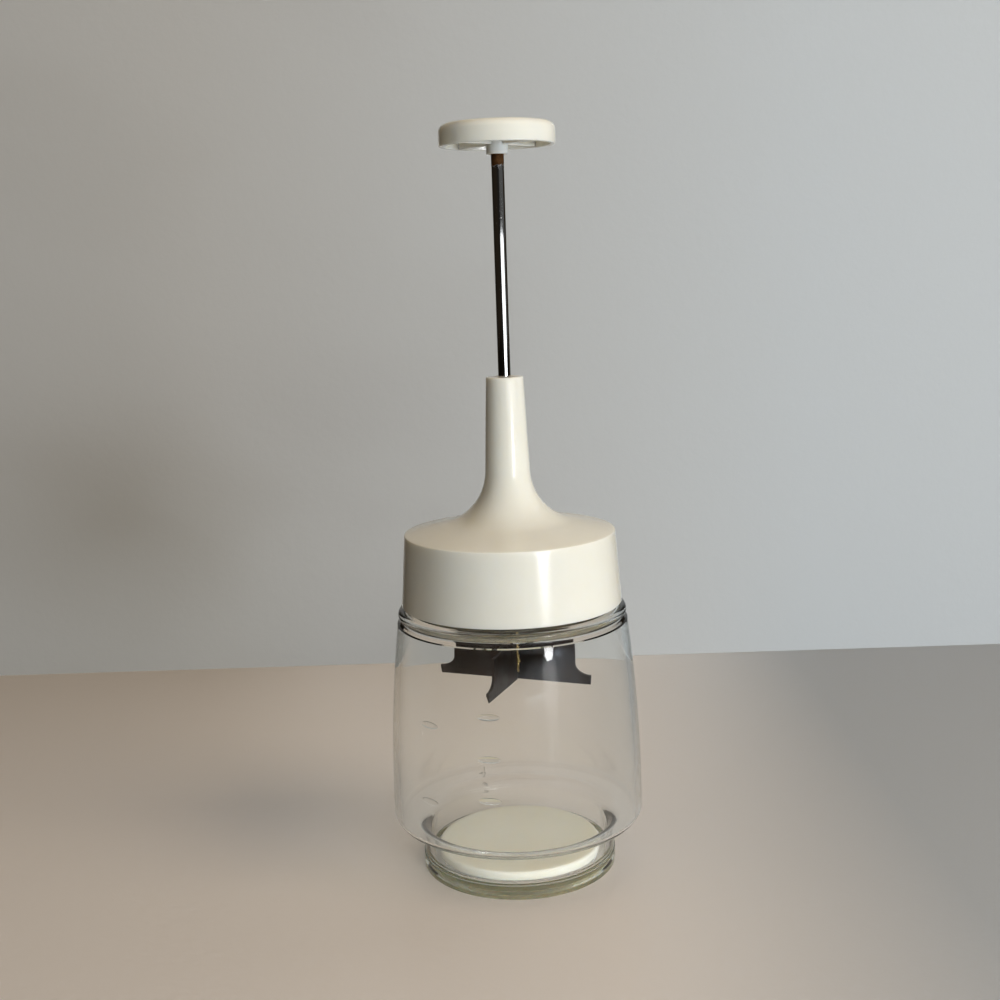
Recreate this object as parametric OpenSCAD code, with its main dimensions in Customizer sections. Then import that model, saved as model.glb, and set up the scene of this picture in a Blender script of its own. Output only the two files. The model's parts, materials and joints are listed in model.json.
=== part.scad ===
// Plunger food chopper: a glass jar with a screw lid. The lid's trumpet neck guides a
// sprung, chromed rod that has a push knob on top and crossed blades at its lower end.
// The origin is the centre of the foot ring, on the table, with +Z up. Millimetres.

/* [Jar] */
// Largest radius of the glass barrel
jar_r = 44.5; // [43:0.5:50]
// Radius of the long curve of the barrel's side
barrel_curve = 522; // [450:1:800]
// Height of the barrel, from its underside to the groove below the bead
barrel_h = 72.5; // [68:0.5:95]
// Height of the barrel's widest ring above its underside
barrel_mid_h = 7.6; // [6:0.1:12]
// Radius of the barrel's lower corner
corner_r = 4; // [3:0.5:6]
// Thickness of the glass wall
glass_t = 3.1; // [2.5:0.1:3.8]
// Radius of the foot ring
foot_r = 34.6; // [33:0.1:36]
// Height of the barrel's underside above the table
foot_h = 17.4; // [15:0.2:22]
// Height of the thick rim at the bottom of the foot
foot_rim_h = 4.8; // [3.5:0.1:7]
// How far the rim stands out from the foot
foot_rim_out = 0.6; // [0.3:0.1:1]
// Thickness of the glass floor
floor_t = 4.5; // [3.5:0.1:6]
// Radius of the foot's lower edge
foot_edge_r = 1; // [0.5:0.1:2]
// Width of the ring that the jar stands on
stand_w = 5; // [3:0.5:8]
// Hollow under the glass floor
punt_h = 1.2; // [0.6:0.1:2]
// Radius of the bead's round edge, below the lid
bead_edge_r = 1.7; // [1.2:0.1:2]
// How far the bead stands out past the lid's skirt
bead_out = 1.5; // [1.2:0.1:2.4]
// Outer radius of the threaded neck
neck_r = 32.4; // [31.8:0.1:33]
// Height of the threaded neck
neck_h = 21.2; // [18:0.2:28]
// Thickness of the glass neck
neck_t = 2.9; // [2.5:0.1:3.2]

/* [Thread] */
// Rise of the thread in one turn
thread_pitch = 4.2; // [3.8:0.1:5]
// Length of each thread, in degrees
thread_turn = 450; // [360:10:450]
// How far the glass thread stands out from the neck
glass_thread_h = 1.3; // [1:0.1:1.4]
// How far the lid's thread stands in from the skirt
lid_thread_h = 1.5; // [1.2:0.1:1.6]
// Height of the glass thread's lower end below the lip
thread_drop = 8.6; // [8:0.2:11]

/* [Chopping board] */
// Thickness of the board
board_t = 3.5; // [2.5:0.1:5]
// Gap between the board and the glass around it
board_gap = 1.9; // [1:0.1:3]

/* [Lid] */
// Thickness of the skirt at its lower edge
skirt_t = 4.2; // [3.6:0.1:4.6]
// Gap between the skirt and the crest of the glass thread
crest_gap = 0.7; // [0.5:0.1:1]
// How much narrower the skirt is at its upper edge
skirt_draft = 1.9; // [0:0.1:2]
// Gap between the skirt and the glass shoulder
skirt_gap = 0.7; // [0.5:0.1:1.2]
// Thickness of the lid's top at its edge
lid_top_t = 2.9; // [2.5:0.1:4]
// Thickness of the shell under the trumpet
lid_wall = 2.2; // [1.6:0.1:2.8]
// Slope of the shoulder, in degrees
shoulder_tilt = 13; // [10:0.2:15]
// Radius of the flare between the shoulder and the neck
flare_r = 19; // [16:0.5:21]
// Height of the trumpet above the shoulder's edge
trumpet_h = 53.7; // [50:0.1:62]
// Radius of the trumpet at its top
trumpet_r = 6.4; // [6.2:0.1:7.2]
// Slope of the trumpet's neck, in degrees
trumpet_taper = 2.4; // [1.5:0.1:3]
// Radius of the bore that the spring runs in
bore_r = 4.7; // [4.5:0.1:4.9]
// Radius of the hole in the neck's top face
mouth_r = 2.65; // [2.5:0.05:3]
// Thickness of the neck's top wall
cap_t = 3; // [2:0.5:4]
// Wall of the inner tube below the trumpet
tube_t = 1.9; // [1.5:0.1:2.5]
// How far the inner tube hangs below the lid's ceiling
tube_drop = 30.1; // [26:0.1:31]
// Thickness of the ribs between the tube and the lid
rib_t = 1.8; // [1.2:0.1:2.5]
// Thickness of the sealing ring
seal_t = 1.7; // [1.2:0.1:2.4]

/* [Spring] */
// Thickness of the spring's wire
wire_d = 0.7; // [0.5:0.05:0.75]
// Turns of the spring
spring_turns = 21; // [16:1:21]
// Gap between the spring and the bore
spring_gap = 0.75; // [0.7:0.05:0.9]
// Thickness of the plug that holds the spring
plug_t = 2; // [1.5:0.1:3]
// Length of the plug's sleeve in the bore
plug_sleeve_h = 4; // [3:0.5:6]
// Thickness of the washer on the spring
washer_t = 0.8; // [0.6:0.1:1.2]
// Thickness of the retaining clip
clip_t = 0.8; // [0.6:0.1:1.2]
// Thickness of the rubber stop ring
bumper_t = 1.4; // [1:0.1:2]
// Length of the guide bush in the neck's top
bush_h = 4; // [3:0.5:6]

/* [Plunger] */
// Radius of the chromed rod
rod_r = 2.15; // [2:0.05:2.2]
// Length of rod that shows above the neck when the plunger is up
rod_show = 73.8; // [66:0.1:85]
// Depth of the groove for the retaining clip
groove_d = 0.5; // [0.3:0.05:0.6]
// Outer radius of the knob
knob_r = 19.4; // [17:0.1:22]
// Height of the knob, from its rim to the middle of its top
knob_h = 8.1; // [8:0.1:11]
// How much the knob's top is domed
knob_dome = 0.8; // [0.5:0.1:1.5]
// Radius of the knob's upper edge
knob_edge_r = 2.6; // [1.5:0.1:3]
// Thickness of the knob's wall
knob_t = 2; // [1.6:0.1:2.6]
// Radius of the boss under the knob
boss_r = 3.65; // [3.6:0.05:4.5]
// How far the boss hangs below the knob's rim
boss_drop = 2.8; // [2:0.1:5]
// Thickness of the knob's ribs
knob_rib_t = 2; // [1.2:0.1:2.6]
// Wall of the threaded insert in the boss
insert_t = 0.75; // [0.6:0.05:0.9]
// Length of the threaded insert
insert_h = 7; // [5:0.5:7.5]
// Turn of the knob about the rod, in degrees
knob_turn = 45; // [0:5:90]

/* [Blades] */
// Length of each wing from the middle of the cross
blade_len = 28.2; // [25:0.1:28.4]
// Length of each wing along its top edge
blade_top_len = 22.6; // [18:0.1:23.5]
// How far each blade's bend lies past the middle of the cross
bend_x = 1.6; // [1.4:0.1:2]
// Height of the blades
blade_h = 13.7; // [12:0.1:18]
// Height of the upright end of each lower tip
tip_h = 3.2; // [2:0.1:4]
// Height of the curve above the tip
flare_h = 3.8; // [2.5:0.1:4.5]
// Thickness of the blade steel
blade_t = 1; // [0.8:0.1:1.2]
// Outer radius of the bend in each blade
bend_r = 1.2; // [1.1:0.1:1.6]
// Radius of the brazing between the bends
braze_r = 0.8; // [0.6:0.05:1]
// Height of the ground cutting edge
grind_h = 2.4; // [1.5:0.1:3]
// Thickness left at the cutting edge
edge_t = 0.2; // [0.15:0.05:0.3]
// Turn of the blades about the rod, in degrees
blade_turn = -21; // [-45:1:45]
// Height of the collar that holds the blades
collar_h = 4.6; // [4:0.1:6]
// Outer radius of the collar
collar_r = 4.6; // [4.4:0.1:5.5]
// Depth of the slots for the blades in the collar
slot_h = 2.8; // [2.4:0.1:3.2]
// Radius of the pins through the collar
pin_r = 0.6; // [0.5:0.05:0.7]

/* [Hidden] */
$fn = 96;
// Running clearance of the rod in its guides, on the radius
run_gap = 0.06;
// Clearance between pieces that touch when at rest
rest_gap = 0.1;
// Clearance between the seal and the faces that it lies between
seal_gap = 0.05;
// Clearance of the blades' tabs in their slots
slot_gap = 0.05;
// Width of a face that a cut runs past
past = 1;
// Points on each round corner of an outline
arc_steps = 8;
// Degrees between two sections of a thread
thread_step = 9;
// Widths of the glass thread, and of the lid's thread, at the foot and at the crest
glass_thread_w = [2.6, 0.9];
lid_thread_w = [2.4, 0.8];
// How deep a thread's foot lies in its wall
thread_root = 0.4;
// How far below a turn of the glass thread the lid's thread runs
thread_offset = 1.6;
// Rise from the bead's upper edge to the shoulder
shoulder_rise = 0.4;

// Heights, from the table upwards
shelf_z = foot_h;
groove_z = shelf_z + barrel_h;
bead_z = groove_z + 2 * bead_edge_r;
shoulder_z = bead_z + bead_edge_r + shoulder_rise;
lip_z = shoulder_z + neck_h;
ceiling_z = lip_z + seal_t + 2 * seal_gap;
skirt_z = shoulder_z + skirt_gap;
edge_z = ceiling_z + lid_top_t;
top_z = edge_z + trumpet_h;
board_z = floor_t + board_t;

// Heights in the bore, from the neck's top downwards
bush_top_z = top_z - cap_t;
bumper_top_z = bush_top_z - bush_h;
clip_top_z = bumper_top_z - bumper_t - rest_gap;
washer_top_z = clip_top_z - clip_t - rest_gap;
spring_top_z = washer_top_z - washer_t;
tube_z = ceiling_z - tube_drop;
plug_z = tube_z - plug_t;
collar_top_z = plug_z - rest_gap * 2;
blade_top_z = collar_top_z - collar_h;
blade_z = blade_top_z - blade_h;
boss_z = top_z + rod_show;
rim_z = boss_z + boss_drop;
knob_top_z = rim_z + knob_h;

// Jar radii that follow from others
barrel_mid_z = shelf_z + barrel_mid_h;
cup_r = foot_r - foot_rim_out - glass_t;
neck_bore_r = neck_r - neck_t;
board_r = cup_r - board_gap;
stand_r = foot_r - foot_edge_r;
stand_in_r = stand_r - stand_w;
lip_edge_r = 1;

// Radii of the lid, and of the bead below it, that follow from others
skirt_wall_r = neck_r + glass_thread_h + crest_gap;
skirt_r = skirt_wall_r + skirt_t;
bead_r = skirt_r + bead_out;
edge_r = skirt_r - skirt_draft;
tube_r = bore_r + tube_t;
seat_r = neck_bore_r - 2;
spring_r = bore_r - spring_gap - wire_d / 2;
hub_r = rod_r + run_gap;

// Plunger sizes that follow from others
insert_r = rod_r + insert_t;
rod_end_z = boss_z + insert_h;
pin_x = (rod_r + collar_r) / 2;

// Centre of the flare: one circle that touches the neck's side and the shoulder
flare_k1 = flare_r + cos(trumpet_taper) * trumpet_r + sin(trumpet_taper) * top_z;
flare_k2 = flare_r + sin(shoulder_tilt) * edge_r + cos(shoulder_tilt) * edge_z;
flare_k = cos(trumpet_taper + shoulder_tilt);
flare_x = (flare_k1 * cos(shoulder_tilt) - flare_k2 * sin(trumpet_taper)) / flare_k;
flare_z = (flare_k2 * cos(trumpet_taper) - flare_k1 * sin(shoulder_tilt)) / flare_k;

// Points of an arc in the plane of an outline
function arc(cx, cy, r, from, to, n = arc_steps) =
    [for (i = [0:n]) let (a = from + (to - from) * i / n) [cx + r * cos(a), cy + r * sin(a)]];

// Radius of the barrel's side at height z; inset is how far inside the glass it lies
function barrel_side(z, inset = 0) = jar_r - inset - pow(z - barrel_mid_z, 2) / (2 * barrel_curve);

// One section of a thread: a trapezium at angle a, with its foot at root_r and its crest
// at crest_r, widths w[0] and w[1] there, and ends that fade into the wall
function thread_section(a, t, root_r, crest_r, w, z) =
    let (fade = min(1, 0.15 + 12 * min(t, 1 - t)))
    let (r = root_r + (crest_r - root_r) * fade)
    let (side = crest_r > root_r ? 1 : -1)
    [for (p = [[root_r, -w[0]], [r, -w[1]], [r, w[1]], [root_r, w[0]]])
        [p[0] * cos(a), p[0] * sin(a), z + side * p[1] / 2]];

// Height of the spring's wire at t, from 0 at its lower end to 1 at its upper end. The
// last turn at each end lies flat, a wire's thickness from the next
function spring_rise(t, length) =
    let (turn = t * spring_turns)
    let (flat_rise = wire_d)
    let (open = (length - wire_d - 2 * flat_rise) / (spring_turns - 2))
    turn < 1 ? flat_rise * turn
    : turn > spring_turns - 1 ? flat_rise * (1 + turn - spring_turns + 1) + open * (spring_turns - 2)
    : flat_rise + open * (turn - 1);

// A closed solid over a list of rings, each with the same number of points
module skin(rings) {
    n = len(rings[0]);
    last = len(rings) - 1;
    points = [for (ring = rings) each ring];
    sides = [for (i = [0:last - 1], j = [0:n - 1])
        let (a = i * n + j, b = i * n + (j + 1) % n)
        each [[a, b, b + n], [a, b + n, a + n]]];
    first_cap = [for (j = [1:n - 2]) [0, j + 1, j]];
    last_cap = [for (j = [1:n - 2]) [last * n, last * n + j, last * n + j + 1]];
    polyhedron(points, concat(sides, first_cap, last_cap), convexity = 10);
}

// A helical ridge from angle start, whose middle is at height z where the angle is 0. Its
// widths at the foot and at the crest are in w
module thread(root_r, crest_r, w, start, z) {
    steps = round(thread_turn / thread_step);
    skin([for (i = [0:steps])
        let (a = start + thread_turn * i / steps)
        thread_section(a, i / steps, root_r, crest_r, w, z + thread_pitch * a / 360)]);
}

// A round disc or ring between two heights
module ring(outer_r, inner_r, low, high) {
    difference() {
        translate([0, 0, low]) cylinder(r = outer_r, h = high - low);
        if (inner_r > 0) translate([0, 0, low - past]) cylinder(r = inner_r, h = high - low + 2 * past);
    }
}

// Outline of the glass, outside and inside, from the middle of the base round to the floor
module glass_outline() {
    foot_wall_r = foot_r - foot_rim_out;
    punt_slope_w = 1.5;
    foot_fillet_r = 2.5;
    shelf_fall = 0.2;
    shelf_rise = 0.9;
    side_low_z = shelf_z + corner_r + 1;
    side_steps = 10;
    groove_in = 0.6;
    groove_h = 0.9;
    shoulder_w = 2;
    shoulder_fall = 0.1;
    neck_fillet = 0.6;
    inner_lip_r = 2.5;
    inner_lip_fall = 1;
    inner_arch_r = 6;
    inner_arch_fall = 4;
    inner_corner_r = 2.8;
    cup_arch_r = 5.2;
    cup_corner_r = 2.2;
    inner_side_z = groove_z - inner_arch_fall;
    inner_corner_z = shelf_z + glass_t + inner_corner_r + shelf_fall;
    polygon(concat(
        [[0, punt_h], [stand_in_r - punt_slope_w, punt_h], [stand_in_r, 0]],
        arc(stand_r, foot_edge_r, foot_edge_r, -90, 0, 4),
        arc(foot_wall_r, foot_rim_h, foot_rim_out, 0, 90, 4),
        arc(foot_wall_r + foot_fillet_r, shelf_z - foot_fillet_r - shelf_fall, foot_fillet_r, 180, 95),
        arc(jar_r - corner_r, shelf_z + corner_r + shelf_rise, corner_r, -80, 0),
        [for (i = [1:side_steps])
            let (z = side_low_z + (groove_z - side_low_z) * i / side_steps) [barrel_side(z), z]],
        [[bead_r - groove_in, groove_z + groove_h]],
        arc(bead_r - bead_edge_r, bead_z, bead_edge_r, -40, 80),
        [[neck_r + shoulder_w, shoulder_z - shoulder_fall]],
        [[neck_r + neck_fillet, shoulder_z], [neck_r, shoulder_z + neck_fillet]],
        arc(neck_r - lip_edge_r, lip_z - lip_edge_r, lip_edge_r, 0, 90, 4),
        arc(neck_bore_r + lip_edge_r, lip_z - lip_edge_r, lip_edge_r, 90, 180, 4),
        arc(neck_bore_r + inner_lip_r, shoulder_z - inner_lip_fall, inner_lip_r, 180, 260),
        arc(barrel_side(inner_side_z, glass_t) - inner_arch_r, inner_side_z, inner_arch_r, 80, 0),
        [for (i = [1:side_steps])
            let (z = inner_side_z + (inner_corner_z - inner_side_z) * i / side_steps)
            [barrel_side(z, glass_t), z]],
        arc(barrel_side(inner_corner_z, glass_t) - inner_corner_r, inner_corner_z, inner_corner_r,
            0, -80),
        arc(cup_r + cup_arch_r, shelf_z + glass_t - cup_arch_r, cup_arch_r, 95, 180),
        arc(cup_r - cup_corner_r, floor_t + cup_corner_r, cup_corner_r, 0, -90),
        [[0, floor_t]]));
}

module jar() {
    color([0.85, 0.92, 0.9, 0.35]) {
        rotate_extrude() glass_outline();
        thread(neck_r - thread_root, neck_r + glass_thread_h, glass_thread_w, 0, lip_z - thread_drop);
    }
}

module chopping_board() {
    edge = 0.8;
    color("cornsilk")
    rotate_extrude()
    polygon(concat(
        [[0, floor_t]],
        arc(board_r - edge, floor_t + edge, edge, -90, 0, 4),
        arc(board_r - edge, board_z - edge, edge, 0, 90, 4),
        [[0, board_z]]));
}

module lid_seal() {
    outer_gap = 0.4;
    inner_step = 0.8;
    seal_z = lip_z + seal_gap;
    color("gainsboro") ring(skirt_wall_r - outer_gap, seat_r + inner_step, seal_z, seal_z + seal_t);
}

// Outline of the lid's outside, filled in to the middle
module lid_outside() {
    soft = 0.5;
    polygon(concat(
        [[0, skirt_z], [skirt_r - soft, skirt_z], [skirt_r, skirt_z + soft]],
        [[edge_r, edge_z - soft], [edge_r - soft, edge_z + soft * tan(shoulder_tilt)]],
        arc(flare_x, flare_z, flare_r, 270 - shoulder_tilt, 180 + trumpet_taper, 16),
        [[trumpet_r + 0.02, top_z - soft], [trumpet_r - soft, top_z], [0, top_z]]));
}

// Outline of the hollow in the lid: the skirt's inside, the ceiling and the flare's inside
module lid_hollow() {
    inner_r = flare_r + lid_wall;
    side = acos(min(1, (flare_x - tube_r) / inner_r));
    slope_z = edge_z + (edge_r - seat_r) * tan(shoulder_tilt) - lid_wall / cos(shoulder_tilt);
    lead_in_r = skirt_wall_r + 0.8;
    lead_in_h = 1;
    polygon(concat(
        [[tube_r, skirt_z - past], [lead_in_r, skirt_z - past], [lead_in_r, skirt_z + lead_in_h]],
        [[skirt_wall_r, skirt_z + 2 * lead_in_h], [skirt_wall_r, ceiling_z]],
        [[seat_r, ceiling_z], [seat_r, slope_z]],
        arc(flare_x, flare_z, inner_r, 270 - shoulder_tilt, 180 + side, 12)));
}

// Four ribs that brace the inner tube against the lid's ceiling
module lid_ribs() {
    rib_in = tube_r - past / 2;
    rib_out = seat_r - 4;
    inner_drop = 7;
    outer_rise = 1;
    for (a = [45:90:315])
        rotate([0, 0, a])
        rotate([90, 0, 0])
        linear_extrude(rib_t, center = true)
        polygon([[rib_in, ceiling_z - inner_drop], [rib_out, ceiling_z + outer_rise],
                 [rib_out, top_z], [rib_in, top_z]]);
}

module lid_shell() {
    crest_r = skirt_wall_r - lid_thread_h;
    color("oldlace") {
        difference() {
            union() {
                rotate_extrude() lid_outside();
                translate([0, 0, tube_z]) cylinder(r = tube_r, h = ceiling_z - tube_z);
            }
            difference() {
                rotate_extrude() lid_hollow();
                lid_ribs();
            }
            translate([0, 0, tube_z - past]) cylinder(r = bore_r, h = bush_top_z - tube_z + past);
            translate([0, 0, top_z - cap_t - past]) cylinder(r = mouth_r, h = cap_t + 2 * past);
        }
        thread(skirt_wall_r + thread_root, crest_r, lid_thread_w, -90,
               lip_z - thread_drop - thread_offset);
    }
}

module guide_bush() {
    color("ivory") ring(bore_r, hub_r, bumper_top_z, bush_top_z);
}

module stop_bumper() {
    color("dimgray") ring(bore_r - 0.3, rod_r + 0.5, bumper_top_z - bumper_t, bumper_top_z);
}

module spring_plug() {
    sleeve_r = spring_r + wire_d / 2 + 0.15;
    color("ivory") {
        difference() {
            union() {
                ring(tube_r, 0, plug_z, tube_z);
                ring(bore_r, 0, tube_z, tube_z + plug_sleeve_h);
            }
            translate([0, 0, tube_z]) cylinder(r = sleeve_r, h = plug_sleeve_h + past);
            translate([0, 0, plug_z - past]) cylinder(r = hub_r, h = plug_t + 2 * past);
        }
    }
}

module return_spring() {
    sides = 6;
    steps_per_turn = 14;
    steps = spring_turns * steps_per_turn;
    length = spring_top_z - tube_z;
    color("silver")
    skin([for (i = [0:steps])
        let (t = i / steps, a = 360 * spring_turns * t, z = tube_z + wire_d / 2 + spring_rise(t, length))
        [for (k = [0:sides - 1])
            let (b = 360 * k / sides + 30, r = spring_r + wire_d / 2 * cos(b))
            [r * cos(a), r * sin(a), z + wire_d / 2 * sin(b)]]]);
}

module spring_washer() {
    color("silver") ring(bore_r - 0.2, hub_r, spring_top_z, washer_top_z);
}

module retaining_clip() {
    clip_r = bore_r - 0.8;
    clip_z = clip_top_z - clip_t;
    mouth_w = 1.4 * (rod_r - groove_d);
    color("silver")
    difference() {
        ring(clip_r, rod_r - groove_d, clip_z, clip_top_z);
        translate([0, -mouth_w / 2, clip_z - past]) cube([clip_r + past, mouth_w, clip_t + 2 * past]);
    }
}

module plunger_rod() {
    end_soft = 0.4;
    color("lightsteelblue")
    difference() {
        translate([0, 0, blade_top_z]) cylinder(r = rod_r, h = rod_end_z - blade_top_z);
        ring(rod_r + past, rod_r - groove_d, clip_top_z - clip_t, clip_top_z);
        rotate([0, 0, blade_turn]) blade_slots();
        rotate_extrude()
            polygon([[rod_r - end_soft, rod_end_z], [rod_r + past, rod_end_z - end_soft - past],
                     [rod_r + past, rod_end_z]]);
    }
}

// Outline of the knob's shell: flat-sided cap with a round edge, a domed top and a hollow
module knob_outline() {
    edge_top_z = knob_top_z - knob_dome;
    dome_x = knob_r - knob_edge_r;
    dome_r = (pow(dome_x, 2) + pow(knob_dome, 2)) / (2 * knob_dome);
    dome_a = asin(dome_x / dome_r);
    inner_top_z = edge_top_z - knob_t;
    inner_r = knob_r - knob_t;
    polygon(concat(
        [[inner_r + 0.4, rim_z], [knob_r - 0.3, rim_z], [knob_r, rim_z + 0.4]],
        arc(knob_r - knob_edge_r, edge_top_z - knob_edge_r, knob_edge_r, 0, 90 - dome_a / 2),
        arc(0, knob_top_z - dome_r, dome_r, 90 - dome_a, 90),
        [[0, inner_top_z], [inner_r - 0.8, inner_top_z], [inner_r, inner_top_z - 0.8]]));
}

module knob() {
    inner_r = knob_r - knob_t;
    rib_low = 0.3;
    rib_high = knob_top_z - knob_dome - knob_t / 2;
    color("oldlace")
    difference() {
        union() {
            rotate_extrude() knob_outline();
            ring(boss_r, 0, boss_z, rib_high);
            for (a = [0:90:270])
                rotate([0, 0, a + knob_turn])
                translate([0, -knob_rib_t / 2, rim_z + rib_low])
                cube([inner_r + knob_t / 2, knob_rib_t, rib_high - rim_z - rib_low]);
        }
        translate([0, 0, boss_z - past]) cylinder(r = insert_r, h = insert_h + past);
    }
}

module knob_insert() {
    color("darkgoldenrod") ring(insert_r, rod_r, boss_z, boss_z + insert_h);
}

// Plan of one blade's middle: a plate that lies along x with its outer face in the plane
// y = 0, and turns square towards -y at bend_x. grow makes it larger all round
module blade_plan(grow = 0) {
    reach = collar_r + past;
    translate([-reach, -blade_t - grow]) square([reach + bend_x + grow, blade_t + 2 * grow]);
    translate([bend_x - blade_t - grow, -reach]) square([blade_t + 2 * grow, reach + grow]);
}

// The slots, open at their lower end, that the tabs of both blades stand in
module blade_slots() {
    for (a = [0, 180])
        rotate([0, 0, a])
        translate([0, 0, blade_top_z - past])
        linear_extrude(slot_h + past)
        blade_plan(slot_gap);
}

// Side view of one wing: a straight top end, then a hollow curve out to the lower tip
module wing_outline(length) {
    tip_top_z = blade_z + tip_h;
    step = blade_len - blade_top_len;
    polygon(concat(
        [[0, blade_z], [length, blade_z], [length, tip_top_z]],
        [for (i = [1:arc_steps])
            let (a = 90 * i / arc_steps)
            [length - step * sin(a), tip_top_z + flare_h * (1 - cos(a))]],
        [[length - step, blade_top_z], [0, blade_top_z]]));
}

// One wing along +x, with its outer face in the plane y = 0 and its edge ground from y < 0
module wing(length) {
    slope = grind_h / (blade_t - edge_t);
    difference() {
        rotate([90, 0, 0]) linear_extrude(blade_t) wing_outline(length);
        rotate([90, 0, 90])
            translate([0, 0, -past])
            linear_extrude(length + 2 * past)
            polygon([[-edge_t + past / slope, blade_z - past], [-blade_t - past, blade_z - past],
                     [-blade_t - past, blade_z + grind_h + past * slope]]);
    }
}

// What the bend's outer radius takes off the corner of a blade
module bend_cut() {
    low = blade_z - past;
    high = blade_top_z + slot_h + past;
    translate([bend_x, 0, 0])
    difference() {
        translate([-bend_r, -bend_r, low]) cube([bend_r + past, bend_r + past, high - low]);
        translate([-bend_r, -bend_r, low - past]) cylinder(r = bend_r, h = high - low + 2 * past);
    }
}

// The two cross pins of the collar, about the middle of its slots
module pin_pair() {
    half = sqrt(pow(collar_r, 2) - pow(pin_x + pin_r, 2));
    for (x = [-pin_x, pin_x])
        translate([x, 0, blade_top_z + slot_h / 2])
        rotate([90, 0, 0])
        cylinder(r = pin_r, h = 2 * half, center = true, $fn = 32);
}

// One bent blade: two wings at a right angle, joined by a round bend, and the tab above
module bent_blade() {
    difference() {
        union() {
            translate([bend_x, 0, 0]) mirror([1, 0, 0]) wing(blade_len + bend_x);
            translate([bend_x, 0, 0]) rotate([0, 0, -90]) wing(blade_len);
            intersection() {
                translate([0, 0, blade_top_z - past]) linear_extrude(slot_h + past) blade_plan();
                ring(collar_r, 0, blade_top_z - past, blade_top_z + slot_h);
            }
        }
        bend_cut();
        pin_pair();
    }
}

module blade_front() {
    color("slategray") rotate([0, 0, blade_turn]) bent_blade();
}

module blade_rear() {
    color("slategray") rotate([0, 0, blade_turn + 180]) bent_blade();
}

module blade_pins() {
    color("silver") rotate([0, 0, blade_turn]) pin_pair();
}

module blade_collar() {
    color("silver")
    rotate([0, 0, blade_turn])
    difference() {
        ring(collar_r, rod_r, blade_top_z, collar_top_z);
        blade_slots();
        pin_pair();
    }
}

// Brazing metal along the two seams, where one blade's bend meets the other blade's face
module braze_bead() {
    bead_low = blade_z + grind_h;
    color("goldenrod")
    rotate([0, 0, blade_turn])
    difference() {
        for (x = [-bend_x, bend_x])
            translate([x, 0, bead_low]) cylinder(r = braze_r, h = blade_top_z - bead_low);
        bent_blade();
        rotate([0, 0, 180]) bent_blade();
    }
}

jar();
chopping_board();
lid_seal();
lid_shell();
guide_bush();
stop_bumper();
spring_plug();
return_spring();
spring_washer();
retaining_clip();
plunger_rod();
knob();
knob_insert();
blade_collar();
blade_front();
blade_rear();
blade_pins();
braze_bead();
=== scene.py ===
"""Plunger food chopper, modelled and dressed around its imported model.

A glass jar with a screw lid, a sprung rod with a push knob, and crossed blades over a
chopping board. Sizes are in millimetres, heights are above the table, and every piece is
turned into metres as it is made. Only the studio's own sizes and places are in metres.
"""
import json
import logging
import math
from dataclasses import dataclass
from enum import Enum
from typing import Any, Callable, Iterable, Sequence

import bpy
from mathutils import Matrix, Vector


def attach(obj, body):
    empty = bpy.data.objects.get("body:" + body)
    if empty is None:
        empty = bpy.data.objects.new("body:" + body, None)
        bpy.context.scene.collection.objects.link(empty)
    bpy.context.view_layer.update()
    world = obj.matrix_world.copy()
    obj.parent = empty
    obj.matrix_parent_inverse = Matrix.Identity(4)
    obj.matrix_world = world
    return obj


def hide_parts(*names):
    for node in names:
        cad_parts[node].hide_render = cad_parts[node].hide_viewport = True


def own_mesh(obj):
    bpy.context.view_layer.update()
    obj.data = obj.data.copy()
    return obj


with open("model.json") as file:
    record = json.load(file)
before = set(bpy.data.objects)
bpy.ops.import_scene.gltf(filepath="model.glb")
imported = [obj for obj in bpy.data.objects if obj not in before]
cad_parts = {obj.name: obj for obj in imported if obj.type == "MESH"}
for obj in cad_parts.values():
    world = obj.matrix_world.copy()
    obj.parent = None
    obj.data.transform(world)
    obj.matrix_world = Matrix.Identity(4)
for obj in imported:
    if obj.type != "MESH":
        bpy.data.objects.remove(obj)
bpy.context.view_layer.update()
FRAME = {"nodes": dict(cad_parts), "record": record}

log = logging.getLogger("chopper")

MM = 0.001
TAU = 2 * math.pi
MERGE_MM = 0.002
FLAT_DEG = 0.5

Point = tuple[float, float]
Colour = tuple[float, float, float]


# ---------------------------------------------------------------- outlines


def arc(cx: float, cz: float, radius: float, start: float, end: float, steps: int = 10) -> list[Point]:
    """Points of an arc in an outline.

    Args:
        cx: Distance of the centre from the rod's axis.
        cz: Height of the centre.
        radius: Radius of the arc.
        start: First angle in degrees, from outwards towards up.
        end: Last angle in degrees.
        steps: Number of chords.

    Returns:
        The points, as (radius, height) pairs.
    """
    angles = [math.radians(start + (end - start) * i / steps) for i in range(steps + 1)]
    return [(cx + radius * math.cos(a), cz + radius * math.sin(a)) for a in angles]


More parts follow.
